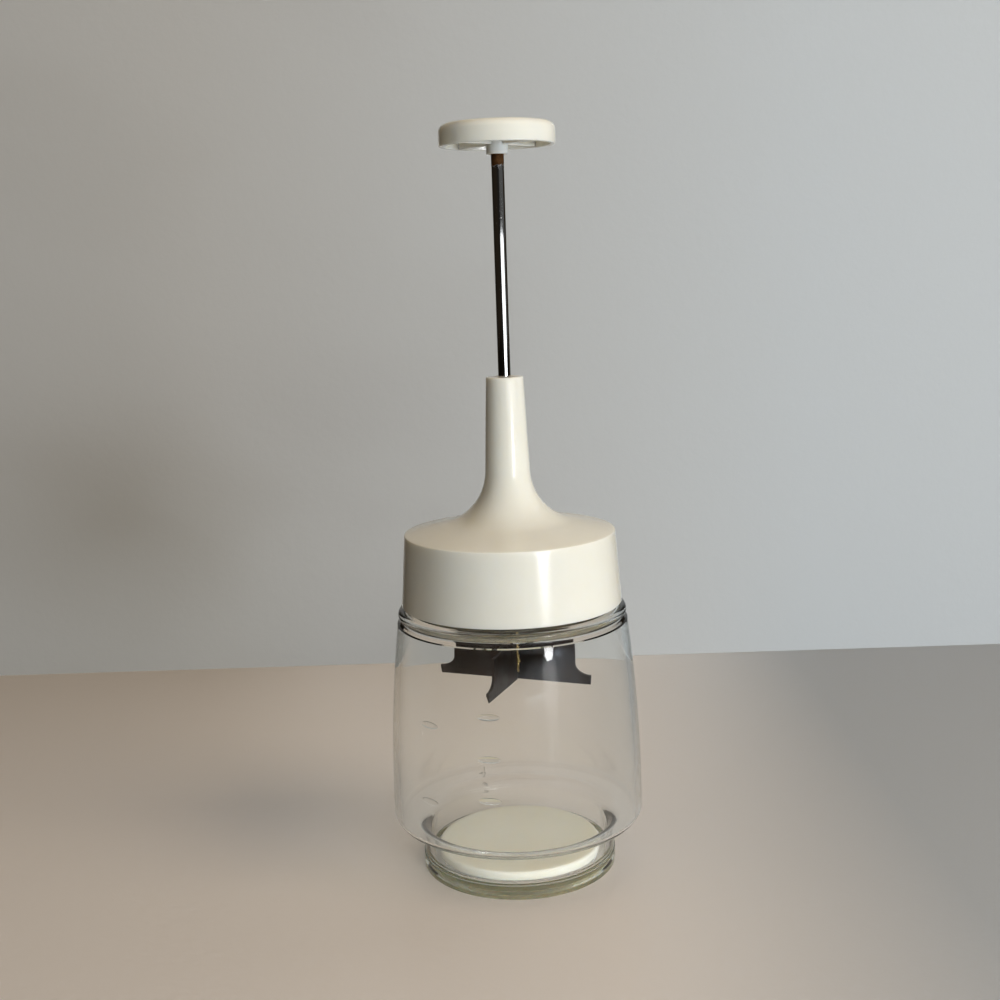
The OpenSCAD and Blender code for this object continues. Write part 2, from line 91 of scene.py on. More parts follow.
def soften(corners: Sequence[tuple[float, float, float]], steps: int = 5,
           closed: bool = True) -> list[Point]:
    """Round the corners of an outline.

    Args:
        corners: (radius, height, corner radius) of each corner, in order.
        steps: Number of chords on each rounded corner.
        closed: Whether the outline runs back to its first corner.

    Returns:
        The rounded outline. A closed one ends on its first point.
    """
    outline: list[Point] = []
    count = len(corners)
    for i, (x, z, rounding) in enumerate(corners):
        at_end = not closed and i in (0, count - 1)
        if rounding <= 0 or at_end:
            outline.append((x, z))
            continue
        corner = Vector((x, z))
        before = (Vector(corners[i - 1][:2]) - corner).normalized()
        after = (Vector(corners[(i + 1) % count][:2]) - corner).normalized()
        half = before.angle(after) / 2
        reach = rounding / math.tan(half)
        centre = corner + (before + after).normalized() * (rounding / math.sin(half))
        first = corner + before * reach - centre
        last = corner + after * reach - centre
        start = math.atan2(first.y, first.x)
        turn = math.remainder(math.atan2(last.y, last.x) - start, TAU)
        for step in range(steps + 1):
            angle = start + turn * step / steps
            outline.append((centre.x + rounding * math.cos(angle), centre.y + rounding * math.sin(angle)))
    if closed:
        outline.append(outline[0])
    return outline


def ring_outline(outer: float, inner: float, low: float, high: float, soft: float) -> list[Point]:
    """Cross-section of a flat ring with rounded edges."""
    return soften([(outer, low, soft), (outer, high, soft), (inner, high, soft), (inner, low, soft)], 3)


# ---------------------------------------------------------------- modelling


def deselect() -> None:
    """Leave edit mode and select nothing, so that an operator acts on new pieces only."""
    if bpy.context.mode != "OBJECT":
        bpy.ops.object.mode_set(mode="OBJECT")
    bpy.ops.object.select_all(action="DESELECT")


def activate(piece: bpy.types.Object) -> None:
    """Make one piece the only selected and active object.

    Args:
        piece: The piece to select.
    """
    deselect()
    piece.select_set(True)
    bpy.context.view_layer.objects.active = piece


def name_piece(name: str) -> bpy.types.Object:
    """Name the active object and its mesh.

    Args:
        name: The new name.

    Returns:
        The active object.
    """
    piece = bpy.context.active_object
    piece.name = name
    piece.data.name = name
    return piece


def clean(piece: bpy.types.Object) -> None:
    """Merge a piece's doubled points and turn its faces outwards.

    Args:
        piece: The piece to clean.
    """
    activate(piece)
    bpy.ops.object.mode_set(mode="EDIT")
    bpy.ops.mesh.select_all(action="SELECT")
    bpy.ops.mesh.remove_doubles(threshold=MERGE_MM * MM)
    bpy.ops.mesh.normals_make_consistent(inside=False)
    bpy.ops.object.mode_set(mode="OBJECT")


def shade(piece: bpy.types.Object, crease: float = 30) -> None:
    """Shade a piece smooth, but for edges sharper than crease degrees."""
    activate(piece)
    bpy.ops.object.shade_smooth_by_angle(angle=math.radians(crease))


def lathe(name: str, outline: Sequence[Point], steps: int = 96) -> bpy.types.Object:
    """Spin an outline once about the rod's axis.

    Args:
        name: Name of the piece.
        outline: (radius, height) points, in millimetres, closed or with both ends on the axis.
        steps: Number of flats round the piece.

    Returns:
        The closed piece, shaded smooth.
    """
    deselect()
    bpy.ops.mesh.primitive_plane_add(size=MM)
    piece = name_piece(name)
    bpy.ops.object.mode_set(mode="EDIT")
    bpy.ops.mesh.select_all(action="SELECT")
    bpy.ops.mesh.merge(type="CENTER")
    bpy.ops.transform.translate(value=(outline[0][0] * MM, 0, outline[0][1] * MM))
    for (x, z), (next_x, next_z) in zip(outline, outline[1:]):
        step = ((next_x - x) * MM, 0, (next_z - z) * MM)
        bpy.ops.mesh.extrude_vertices_move(TRANSFORM_OT_translate={"value": step})
    bpy.ops.mesh.select_all(action="SELECT")
    bpy.ops.mesh.spin(steps=steps, angle=TAU, center=(0, 0, 0), axis=(0, 0, 1))
    bpy.ops.object.mode_set(mode="OBJECT")
    clean(piece)
    shade(piece)
    return piece


def shift(piece: bpy.types.Object, move: Sequence[float], turn: float = 0) -> bpy.types.Object:
    """Move a piece's mesh and then turn it about the rod's axis, leaving its object at the origin.

    Args:
        piece: The piece to place.
        move: Distance along X, Y and Z in millimetres.
        turn: Angle about +Z in degrees.

    Returns:
        The same piece.
    """
    place = Matrix.Rotation(math.radians(turn), 4, "Z") @ Matrix.Translation(Vector(move) * MM)
    piece.data.transform(place)
    return piece


def block(name: str, low: Sequence[float], high: Sequence[float], soft: float = 0) -> bpy.types.Object:
    """Make a block between two corners.

    Args:
        name: Name of the piece.
        low: Its lowest corner.
        high: Its highest corner.
        soft: Width of the bevel along its edges.

    Returns:
        The block.
    """
    deselect()
    bpy.ops.mesh.primitive_cube_add(size=1)
    piece = name_piece(name)
    size = [(b - a) * MM for a, b in zip(low, high)]
    middle = [(a + b) * MM / 2 for a, b in zip(low, high)]
    piece.data.transform(Matrix.Translation(middle) @ Matrix.Diagonal((*size, 1)))
    if soft > 0:
        bevel(piece, soft)
    return piece


def apply(piece: bpy.types.Object, kind: str, **settings: Any) -> None:
    """Add a modifier to a piece, and apply it.

    Args:
        piece: The piece to change.
        kind: The modifier's type.
        settings: The modifier's properties.
    """
    activate(piece)
    modifier = piece.modifiers.new(kind.lower(), kind)
    for key, value in settings.items():
        setattr(modifier, key, value)
    bpy.ops.object.modifier_apply(modifier=modifier.name)


def bevel(piece: bpy.types.Object, width: float, segments: int = 2, crease: float = 30) -> None:
    """Round a piece's edges that are sharper than crease degrees by width millimetres."""
    apply(piece, "BEVEL", width=width * MM, segments=segments, limit_method="ANGLE",
          angle_limit=math.radians(crease), use_clamp_overlap=True)
    shade(piece)


def join(name: str, pieces: Iterable[bpy.types.Object]) -> bpy.types.Object:
    """Join several pieces into one object.

    Args:
        name: Name of the joined piece.
        pieces: The pieces to join.

    Returns:
        The joined piece.
    """
    parts = list(pieces)
    activate(parts[0])
    for part in parts[1:]:
        part.select_set(True)
    bpy.ops.object.join()
    return name_piece(name)


def fuse(piece: bpy.types.Object, other: bpy.types.Object) -> None:
    """Fuse another solid into a piece.

    Args:
        piece: The piece to change.
        other: The other solid, which is deleted.
    """
    apply(piece, "BOOLEAN", object=other, operation="UNION", solver="EXACT")
    bpy.data.objects.remove(other)
    clean(piece)
    shade(piece)


def copy_node(name: str, node: str) -> bpy.types.Object:
    """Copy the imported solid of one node, with its triangles merged into flat faces.

    Args:
        name: Name of the copy.
        node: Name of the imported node.

    Returns:
        The copy.
    """
    piece = bpy.data.objects.new(name, FRAME["nodes"][node].data.copy())
    bpy.context.scene.collection.objects.link(piece)
    piece.data.materials.clear()
    activate(piece)
    piece.data.name = name
    bpy.ops.mesh.customdata_custom_splitnormals_clear()
    bpy.ops.object.mode_set(mode="EDIT")
    bpy.ops.mesh.select_all(action="SELECT")
    bpy.ops.mesh.remove_doubles(threshold=MERGE_MM * MM)
    bpy.ops.mesh.dissolve_limited(angle_limit=math.radians(FLAT_DEG))
    bpy.ops.object.mode_set(mode="OBJECT")
    shade(piece)
    return piece


def helix(name: str, spot: Callable[[float], Vector], steps: int, radius: float,
          sides: int = 3) -> bpy.types.Object:
    """Bend a round wire along a path.

    Args:
        name: Name of the piece.
        spot: Place on the wire's middle line, in millimetres, at t from 0 to 1.
        steps: Number of straight stretches.
        radius: Radius of the wire in millimetres.
        sides: Bevel resolution of the wire.

    Returns:
        The wire as a closed mesh.
    """
    deselect()
    bpy.ops.curve.primitive_nurbs_path_add()
    wire = name_piece(name)
    wire.data.splines.clear()
    line = wire.data.splines.new("POLY")
    line.points.add(steps)
    for i, point in enumerate(line.points):
        point.co = (*(spot(i / steps) * MM), 1)
    wire.data.dimensions = "3D"
    wire.data.bevel_depth = radius * MM
    wire.data.bevel_resolution = sides
    wire.data.use_fill_caps = True
    bpy.ops.object.convert(target="MESH")
    piece = name_piece(name)
    clean(piece)
    shade(piece, 50)
    return piece


# ---------------------------------------------------------------- shader nodes


class Graph:
    """A node tree, with short calls that place nodes and wire them."""

    def __init__(self, tree: bpy.types.NodeTree) -> None:
        """Keep the tree to place nodes in."""
        self.tree = tree

    def add(self, kind: str, inputs: dict[Any, Any] | None = None, **settings: Any) -> bpy.types.Node:
        """Place a node.

        Args:
            kind: The node's type, without its ShaderNode prefix.
            inputs: A value or an output socket for each input, by name or number.
            settings: The node's properties.

        Returns:
            The new node.
        """
        node = self.tree.nodes.new("ShaderNode" + kind)
        for key, value in settings.items():
            setattr(node, key, value)
        for key, value in (inputs or {}).items():
            if isinstance(value, bpy.types.NodeSocket):
                self.tree.links.new(value, node.inputs[key])
            else:
                node.inputs[key].default_value = value
        return node

    def math(self, operation: str, first: Any, second: Any = 0.0, clamp: bool = False) -> Any:
        """Combine two values, and return the output."""
        return self.add("Math", {0: first, 1: second}, operation=operation, use_clamp=clamp).outputs[0]

    def mix(self, factor: Any, first: Any, second: Any) -> Any:
        """Blend two colours by a factor, and return the output."""
        inputs = {0: factor, 6: first, 7: second}
        return self.add("Mix", inputs, data_type="RGBA").outputs[2]

    def noise(self, vector: Any, scale: Any, detail: float = 3, roughness: float = 0.55) -> Any:
        """Place a noise texture, and return its value."""
        inputs = {"Vector": vector, "Scale": scale, "Detail": detail, "Roughness": roughness}
        return self.add("TexNoise", inputs).outputs["Fac"]

    def spread(self, value: Any, low: Any, high: Any, to_low: Any = 0.0, to_high: Any = 1.0) -> Any:
        """Map a value from one range to another, clamped, and return the output."""
        inputs = {0: value, 1: low, 2: high, 3: to_low, 4: to_high}
        return self.add("MapRange", inputs).outputs[0]

    def mix_shaders(self, factor: Any, first: bpy.types.Node, second: bpy.types.Node) -> bpy.types.Node:
        """Blend two shaders by a factor, and return the node."""
        return self.add("MixShader", {0: factor, 1: first.outputs[0], 2: second.outputs[0]})

    def place(self, scale: Sequence[float] = (1, 1, 1)) -> Any:
        """Return object coordinates, scaled."""
        coordinates = self.add("TexCoord").outputs["Object"]
        return self.add("Mapping", {"Vector": coordinates, "Scale": scale}).outputs[0]

    def coordinate(self, axis: str) -> Any:
        """Return the object coordinate along one axis."""
        return self.add("SeparateXYZ", {0: self.place()}).outputs[axis]


class GroupKind(Enum):
    """The shared effects that more than one finish uses."""

    MOTTLE = "mottle"
    GRAIN = "grain"
    SCRATCHES = "scratches"


class Effects:
    """The shared node groups, each built once."""

    def __init__(self) -> None:
        """Start with no group built."""
        self.built: dict[GroupKind, bpy.types.NodeTree] = {}

    def start(self, kind: GroupKind, inputs: dict[str, str], output: str,
              output_kind: str) -> tuple[Graph, Any, Any]:
        """Make an empty group with its sockets.

        Args:
            kind: Which effect the group is.
            inputs: Socket type of each input, by name.
            output: Name of the output.
            output_kind: Socket type of the output.

        Returns:
            The group's graph, its input node and its output node.
        """
        tree = bpy.data.node_groups.new(kind.value, "ShaderNodeTree")
        for name, socket in inputs.items():
            tree.interface.new_socket(name, in_out="INPUT", socket_type="NodeSocket" + socket)
        tree.interface.new_socket(output, in_out="OUTPUT", socket_type="NodeSocket" + output_kind)
        self.built[kind] = tree
        return Graph(tree), tree.nodes.new("NodeGroupInput"), tree.nodes.new("NodeGroupOutput")

    def group(self, kind: GroupKind) -> bpy.types.NodeTree:
        """Look a group up, and build it the first time.

        Args:
            kind: Which effect the group is.

        Returns:
            The group.
        """
        if kind not in self.built:
            getattr(self, "build_" + kind.value)()
        return self.built[kind]

    def build_mottle(self) -> None:
        """Build a soft drift between two colours, as in moulded or aged material."""
        inputs = {"Vector": "Vector", "Scale": "Float", "Pale": "Color", "Deep": "Color"}
        graph, given, result = self.start(GroupKind.MOTTLE, inputs, "Color", "Color")
        fine_per_broad, broad_share = 6.0, 0.7
        broad = graph.noise(given.outputs["Vector"], given.outputs["Scale"], 2)
        fine_scale = graph.math("MULTIPLY", given.outputs["Scale"], fine_per_broad)
        fine = graph.noise(given.outputs["Vector"], fine_scale, 4, 0.65)
        both = graph.math("ADD", graph.math("MULTIPLY", broad, broad_share),
                          graph.math("MULTIPLY", fine, 1 - broad_share))
        share = graph.spread(both, 0.35, 0.65)
        colour = graph.mix(share, given.outputs["Pale"], given.outputs["Deep"])
        graph.tree.links.new(colour, result.inputs["Color"])

    def build_grain(self) -> None:
        """Build the height of a fine moulded or cast skin."""
        inputs = {"Vector": "Vector", "Scale": "Float"}
        graph, given, result = self.start(GroupKind.GRAIN, inputs, "Height", "Float")
        wave_per_skin, skin_share = 0.06, 0.3
        skin = graph.noise(given.outputs["Vector"], given.outputs["Scale"], 5, 0.6)
        wave_scale = graph.math("MULTIPLY", given.outputs["Scale"], wave_per_skin)
        wave = graph.noise(given.outputs["Vector"], wave_scale, 1)
        total = graph.math("ADD", graph.math("MULTIPLY", skin, skin_share), wave)
        graph.tree.links.new(total, result.inputs["Height"])

    def build_scratches(self) -> None:
        """Build a mask of thin, long scratches in three directions, which come in patches."""
        inputs = {"Vector": "Vector", "Scale": "Float", "Amount": "Float"}
        graph, given, result = self.start(GroupKind.SCRATCHES, inputs, "Mask", "Float")
        middle, half_width, patch_per_strand = 0.5, 0.012, 0.15
        masks = []
        for turn, stretch in ((12, 0.05), (-31, 0.08), (64, 0.06)):
            lay = (0, math.radians(turn / 3), math.radians(turn))
            inputs = {"Vector": given.outputs["Vector"], "Rotation": lay, "Scale": (stretch, 1, 1)}
            turned = graph.add("Mapping", inputs).outputs[0]
            strand = graph.noise(turned, given.outputs["Scale"], 2, 0.4)
            off_middle = graph.math("ABSOLUTE", graph.math("SUBTRACT", strand, middle))
            masks.append(graph.spread(off_middle, half_width, 0.0))
        lines = graph.math("MAXIMUM", graph.math("MAXIMUM", masks[0], masks[1]), masks[2])
        patch_scale = graph.math("MULTIPLY", given.outputs["Scale"], patch_per_strand)
        patches = graph.noise(given.outputs["Vector"], patch_scale, 2)
        limit = graph.math("SUBTRACT", 1.0, given.outputs["Amount"])
        shown = graph.math("MULTIPLY", lines, graph.spread(patches, limit, 1.0), clamp=True)
        graph.tree.links.new(shown, result.inputs["Mask"])


EFFECTS = Effects()


def rgb(colour: Colour) -> tuple[float, float, float, float]:
    """Add full alpha to a linear colour."""
    return (*colour, 1.0)


class Finish:
    """A material in the making: its graph, its shader and its output."""

    def __init__(self, name: str) -> None:
        """Start a material with a Principled shader.

        Args:
            name: Name of the material.
        """
        self.material = bpy.data.materials.new(name)
        self.material.use_nodes = True
        self.graph = Graph(self.material.node_tree)
        self.shader = self.material.node_tree.nodes["Principled BSDF"]
        self.output = self.material.node_tree.nodes["Material Output"]

    def set(self, **values: Any) -> None:
        """Set or wire inputs of the shader.

        Args:
            values: A value or an output socket for each input, with underscores for the
                spaces in its name.
        """
        for key, value in values.items():
            socket = self.shader.inputs[key.replace("_", " ")]
            if isinstance(value, bpy.types.NodeSocket):
                self.graph.tree.links.new(value, socket)
            else:
                socket.default_value = value

    def show(self, shader: bpy.types.Node, output: str = "Surface") -> None:
        """Wire a shader to the material's surface or volume."""
        self.graph.tree.links.new(shader.outputs[0], self.output.inputs[output])

    def effect(self, kind: GroupKind, inputs: dict[str, Any]) -> Any:
        """Place a shared effect, and return its output."""
        return self.graph.add("Group", inputs, node_tree=EFFECTS.group(kind)).outputs[0]

    def mottle(self, where: Any, scale: float, pale: Colour, deep: Colour) -> Any:
        """Place a soft drift between two colours, and return the colour."""
        inputs = {"Vector": where, "Scale": scale, "Pale": rgb(pale), "Deep": rgb(deep)}
        return self.effect(GroupKind.MOTTLE, inputs)

    def grain(self, where: Any, scale: float) -> Any:
        """Place a fine skin, and return its height."""
        return self.effect(GroupKind.GRAIN, {"Vector": where, "Scale": scale})

    def scratches(self, where: Any, scale: float, amount: float) -> Any:
        """Place patches of scratches, and return their mask."""
        return self.effect(GroupKind.SCRATCHES, {"Vector": where, "Scale": scale, "Amount": amount})

    def bump(self, height: Any, distance: float, strength: float = 1.0, under: Any = None) -> Any:
        """Turn a height into a normal.

        Args:
            height: Output of the height.
            distance: Depth in millimetres that a height of 1 stands for.
            strength: Share of the bump that shows.
            under: Output of a normal that is bumped further.

        Returns:
            The normal's output.
        """
        inputs = {"Height": height, "Distance": distance * MM, "Strength": strength}
        if under is not None:
            inputs["Normal"] = under
        return self.graph.add("Bump", inputs).outputs[0]

    def carve(self, mask: Any, depth: float, strength: float, under: Any) -> Any:
        """Cut a mask into a normal, depth millimetres deep, and return the new normal."""
        return self.bump(self.graph.math("MULTIPLY", mask, -1.0), depth, strength, under)


# ---------------------------------------------------------------- finishes


@dataclass(frozen=True)
class ClearGlass:
    """Moulded jar glass: clear, faintly green where it is thick, with a slow wave in its skin."""

    name: str = "clear_glass"
    tint: Colour = (0.84, 0.94, 0.84)
    density: float = 24.0
    ior: float = 1.5
    wave_scale: float = 55.0
    wave_stretch: tuple[float, float, float] = (1, 1, 0.35)
    wave_mm: float = 0.05
    wave_share: float = 0.5
    shadow: Colour = (0.985, 0.985, 0.985)

    def build(self) -> bpy.types.Material:
        """Build the glass, which lets lamp light through to what is behind it.

        Returns:
            The material.
        """
        finish = Finish(self.name)
        graph = finish.graph
        wave = graph.noise(graph.place(scale=self.wave_stretch), self.wave_scale, 1, 0.4)
        finish.set(Base_Color=rgb((1, 1, 1)), Roughness=0.0, IOR=self.ior, Transmission_Weight=1.0,
                   Normal=finish.bump(wave, self.wave_mm, self.wave_share))
        clear = graph.add("BsdfTransparent", {"Color": rgb(self.shadow)})
        ray = graph.add("LightPath").outputs["Is Shadow Ray"]
        finish.show(graph.mix_shaders(ray, finish.shader, clear))
        body = graph.add("VolumeAbsorption", {"Color": rgb(self.tint), "Density": self.density})
        finish.show(body, "Volume")
        return finish.material


@dataclass(frozen=True)
class MouldedPlastic:
    """Moulded plastic, from glossy to matt, with a drift of colour, a skin and light scratches."""

    name: str
    pale: Colour
    deep: Colour
    gloss: float
    worn: float
    grain_scale: float
    grain_mm: float
    scratched: float = 0.35
    glow: float = 0.5
    glow_mm: float = 3.0
    glow_colour: Colour = (1.0, 0.92, 0.78)
    ior: float = 1.5
    drift_scale: float = 22.0
    wear_scale: float = 60.0
    scratch_scale: float = 420.0
    scratch_mm: float = 0.004

    def build(self) -> bpy.types.Material:
        """Build the plastic, which lets a little light through where it is thin.

        Returns:
            The material.
        """
        finish = Finish(self.name)
        graph = finish.graph
        where = graph.place()
        colour = finish.mottle(where, self.drift_scale, self.pale, self.deep)
        scratches = finish.scratches(where, self.scratch_scale, self.scratched)
        wear = graph.noise(where, self.wear_scale, 4, 0.6)
        rough = graph.spread(wear, 0.3, 0.75, self.gloss, self.worn)
        rough = graph.math("ADD", rough, graph.math("MULTIPLY", scratches, 0.25), clamp=True)
        normal = finish.bump(finish.grain(where, self.grain_scale), self.grain_mm)
        normal = finish.carve(scratches, self.scratch_mm, 0.6, normal)
        finish.set(Base_Color=colour, Roughness=rough, Normal=normal, IOR=self.ior,
                   Subsurface_Weight=self.glow, Subsurface_Scale=self.glow_mm * MM,
                   Subsurface_Radius=self.glow_colour)
        return finish.material


@dataclass(frozen=True)
class SoftRubber:
    """Matt rubber with a fine skin and a bloom of grey."""

    name: str
    pale: Colour
    deep: Colour
    rough: tuple[float, float] = (0.55, 0.8)
    sheen: float = 0.35
    drift_scale: float = 90.0
    grain_scale: float = 2600.0
    grain_mm: float = 0.02

    def build(self) -> bpy.types.Material:
        """Build the rubber.

        Returns:
            The material.
        """
        finish = Finish(self.name)
        where = finish.graph.place()
        skin = finish.grain(where, self.grain_scale)
        finish.set(Base_Color=finish.mottle(where, self.drift_scale, self.pale, self.deep),
                   Roughness=finish.graph.spread(skin, 0.4, 0.9, *self.rough),
                   Normal=finish.bump(skin, self.grain_mm), Specular_IOR_Level=self.sheen)
        return finish.material


@dataclass(frozen=True)
class PlatedRod:
    """Bright plating with fine marks along it, and rust that has come through at its top."""

    name: str
    plate: Colour
    rust: Colour
    rust_from: float
    rust_to: float
    rust_mm: float = 0.05
    rust_rough: float = 0.7
    rust_scale: float = 500.0
    rust_dark: float = 0.35
    ragged_mm: float = 6.0
    ragged_scale: float = 900.0
    pit_scale: float = 700.0
    pitted: float = 0.5
    polish: tuple[float, float] = (0.03, 0.07)
    polish_scale: float = 2500.0
    polish_stretch: tuple[float, float, float] = (1, 1, 0.02)
    sheen: float = 0.15

    def build(self) -> bpy.types.Material:
        """Build the plating.

        Returns:
            The material.
        """
        finish = Finish(self.name)
        graph = finish.graph
        where = graph.place()
        speckle = graph.noise(where, self.ragged_scale, 5, 0.7)
        ragged = graph.math("MULTIPLY", graph.math("SUBTRACT", speckle, 0.5), self.ragged_mm * MM)
        height = graph.math("ADD", ragged, graph.coordinate("Z"))
        zone = graph.spread(height, self.rust_from * MM, self.rust_to * MM)
        pits = graph.spread(graph.noise(where, self.pit_scale, 4, 0.75), 0.70, 0.76, 0.0, self.pitted)
        rusted = graph.math("MAXIMUM", zone, pits)
        dark = tuple(self.rust_dark * c for c in self.rust)
        brown = finish.mottle(where, self.rust_scale, self.rust, dark)
        drawn = graph.noise(graph.place(scale=self.polish_stretch), self.polish_scale, 2)
        bright = graph.spread(drawn, 0.3, 0.7, *self.polish)
        finish.set(Base_Color=graph.mix(graph.spread(rusted, 0.0, 0.2), rgb(self.plate), brown),
                   Metallic=graph.spread(rusted, 0.0, 0.25, 1.0, 0.0),
                   Roughness=graph.spread(rusted, 0.2, 0.8, bright, self.rust_rough),
                   Normal=finish.bump(graph.math("MULTIPLY", rusted, speckle), self.rust_mm),
                   Specular_IOR_Level=self.sheen)
        return finish.material


@dataclass(frozen=True)
class BrushedSteel:
    """Steel sheet with a brushed grain, stains and scratches."""

    name: str
    pale: Colour
    deep: Colour
    stain: Colour
    rough: tuple[float, float]
    stained: float
    drift_scale: float = 120.0
    brush_scale: float = 2400.0
    brush_stretch: tuple[float, float, float] = (0.04, 0.04, 1)
    brush_mm: float = 0.006
    stain_scale: float = 75.0
    scratch_scale: float = 600.0
    scratched: float = 0.45
    scratch_mm: float = 0.006

    def build(self) -> bpy.types.Material:
        """Build the steel.

        Returns:
            The material.
        """
        finish = Finish(self.name)
        graph = finish.graph
        where = graph.place()
        brushed = graph.noise(graph.place(scale=self.brush_stretch), self.brush_scale, 3, 0.6)
        colour = finish.mottle(where, self.drift_scale, self.pale, self.deep)
        stains = graph.spread(graph.noise(where, self.stain_scale, 4, 0.6), 0.48, 0.62, 0.0, self.stained)
        rough = graph.spread(brushed, 0.25, 0.75, *self.rough)
        rough = graph.math("ADD", rough, graph.math("MULTIPLY", stains, 0.15), clamp=True)
        scratches = finish.scratches(where, self.scratch_scale, self.scratched)
        normal = finish.carve(scratches, self.scratch_mm, 0.8, finish.bump(brushed, self.brush_mm))
        finish.set(Base_Color=graph.mix(stains, colour, rgb(self.stain)), Metallic=1.0, Roughness=rough,
                   Normal=normal)
        return finish.material


@dataclass(frozen=True)
class Brass:
    """Brass or brazing metal, dulled in its hollows."""

    name: str = "brass"
    bright: Colour = (0.78, 0.60, 0.26)
    dull: Colour = (0.33, 0.24, 0.10)
    rough: tuple[float, float] = (0.28, 0.5)
    drift_scale: float = 260.0
    grain_scale: float = 1500.0
    grain_mm: float = 0.03

    def build(self) -> bpy.types.Material:
        """Build the brass.

        Returns:
            The material.
        """
        finish = Finish(self.name)
        where = finish.graph.place()
        skin = finish.grain(where, self.grain_scale)
        finish.set(Base_Color=finish.mottle(where, self.drift_scale, self.bright, self.dull), Metallic=1.0,
                   Roughness=finish.graph.spread(skin, 0.4, 0.9, *self.rough),
                   Normal=finish.bump(skin, self.grain_mm))
        return finish.material


class Slot(Enum):
    """The record's material slots."""

    GLASS = "clear_glass"
    CREAM = "cream_plastic"
    BOARD = "board_plastic"
    INNER = "inner_plastic"
    SEAL = "seal_rubber"
    STOP = "stop_rubber"
    CHROME = "chromed_steel"
    BLADE = "blade_steel"
    STEEL = "small_steel"
    BRASS = "brass"


FINISHES: dict[Slot, Any] = {
    Slot.GLASS: ClearGlass(),
    Slot.CREAM: MouldedPlastic("cream_plastic", (0.81, 0.785, 0.70), (0.78, 0.75, 0.655), gloss=0.10,
                               worn=0.19, grain_scale=900.0, grain_mm=0.006, scratched=0.3, glow=0.7,
                               glow_mm=3.5),
    Slot.BOARD: MouldedPlastic("board_plastic", (0.95, 0.90, 0.78), (0.92, 0.86, 0.72), gloss=0.38,
                               worn=0.55, grain_scale=1400.0, grain_mm=0.02, scratched=0.5, glow=0.8,
                               glow_mm=4.0),
    Slot.INNER: MouldedPlastic("inner_plastic", (0.76, 0.73, 0.65), (0.70, 0.67, 0.58), gloss=0.35,
                               worn=0.5, grain_scale=1200.0, grain_mm=0.01),
    Slot.SEAL: SoftRubber("seal_rubber", (0.62, 0.60, 0.54), (0.52, 0.49, 0.43)),
    Slot.STOP: SoftRubber("stop_rubber", (0.045, 0.045, 0.045), (0.02, 0.02, 0.02)),
    Slot.CHROME: PlatedRod("chromed_steel", (0.66, 0.66, 0.67), (0.085, 0.035, 0.010), rust_from=244.9,
                           rust_to=247.4),
    # The blade steel's colours are kept very dark. This is partly real stain and partly painted shade,
    # which stands for the dark room that the blades reflect.
    Slot.BLADE: BrushedSteel("blade_steel", (0.052, 0.045, 0.045), (0.026, 0.021, 0.019),
                             stain=(0.042, 0.024, 0.018), rough=(0.36, 0.50), stained=0.7),
    Slot.STEEL: BrushedSteel("small_steel", (0.56, 0.56, 0.57), (0.46, 0.46, 0.46),
                             stain=(0.30, 0.26, 0.22), rough=(0.22, 0.36), stained=0.3),
    Slot.BRASS: Brass(),
}


class Paint:
    """The finishes, each built once and given to pieces."""

    def __init__(self) -> None:
        """Build every finish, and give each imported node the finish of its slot."""
        self.materials = {slot: finish.build() for slot, finish in FINISHES.items()}
        for row in FRAME["record"]["subparts"]:
            material = self.materials[Slot(row["material_slot"])]
            data = FRAME["nodes"][row["node"]].data
            data.materials.clear()
            data.materials.append(material)

    def dress(self, piece: bpy.types.Object, slot: Slot, body: str, *nodes: str) -> None:
        """Finish a piece, put it on its body and let it stand for its nodes.

        Args:
            piece: The piece to dress.
            slot: Material slot of its finish.
            body: Name of the body that it moves with.
            nodes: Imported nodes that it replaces.
        """
        piece.data.materials.clear()
        piece.data.materials.append(self.materials[slot])
        for polygon in piece.data.polygons:
            polygon.material_index = 0
        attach(piece, body)
        if nodes:
            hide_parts(*nodes)
        log.info("%s: %d faces, on %s", piece.name, len(piece.data.polygons), body)


class Body(str, Enum):
    """The bodies that pieces ride on."""

    JAR = "jar_body"
    SEAL = "seal_body"
    LID = "lid_body"
    WASHER = "washer_body"
    PLUNGER = "plunger_body"


# ---------------------------------------------------------------- the jar


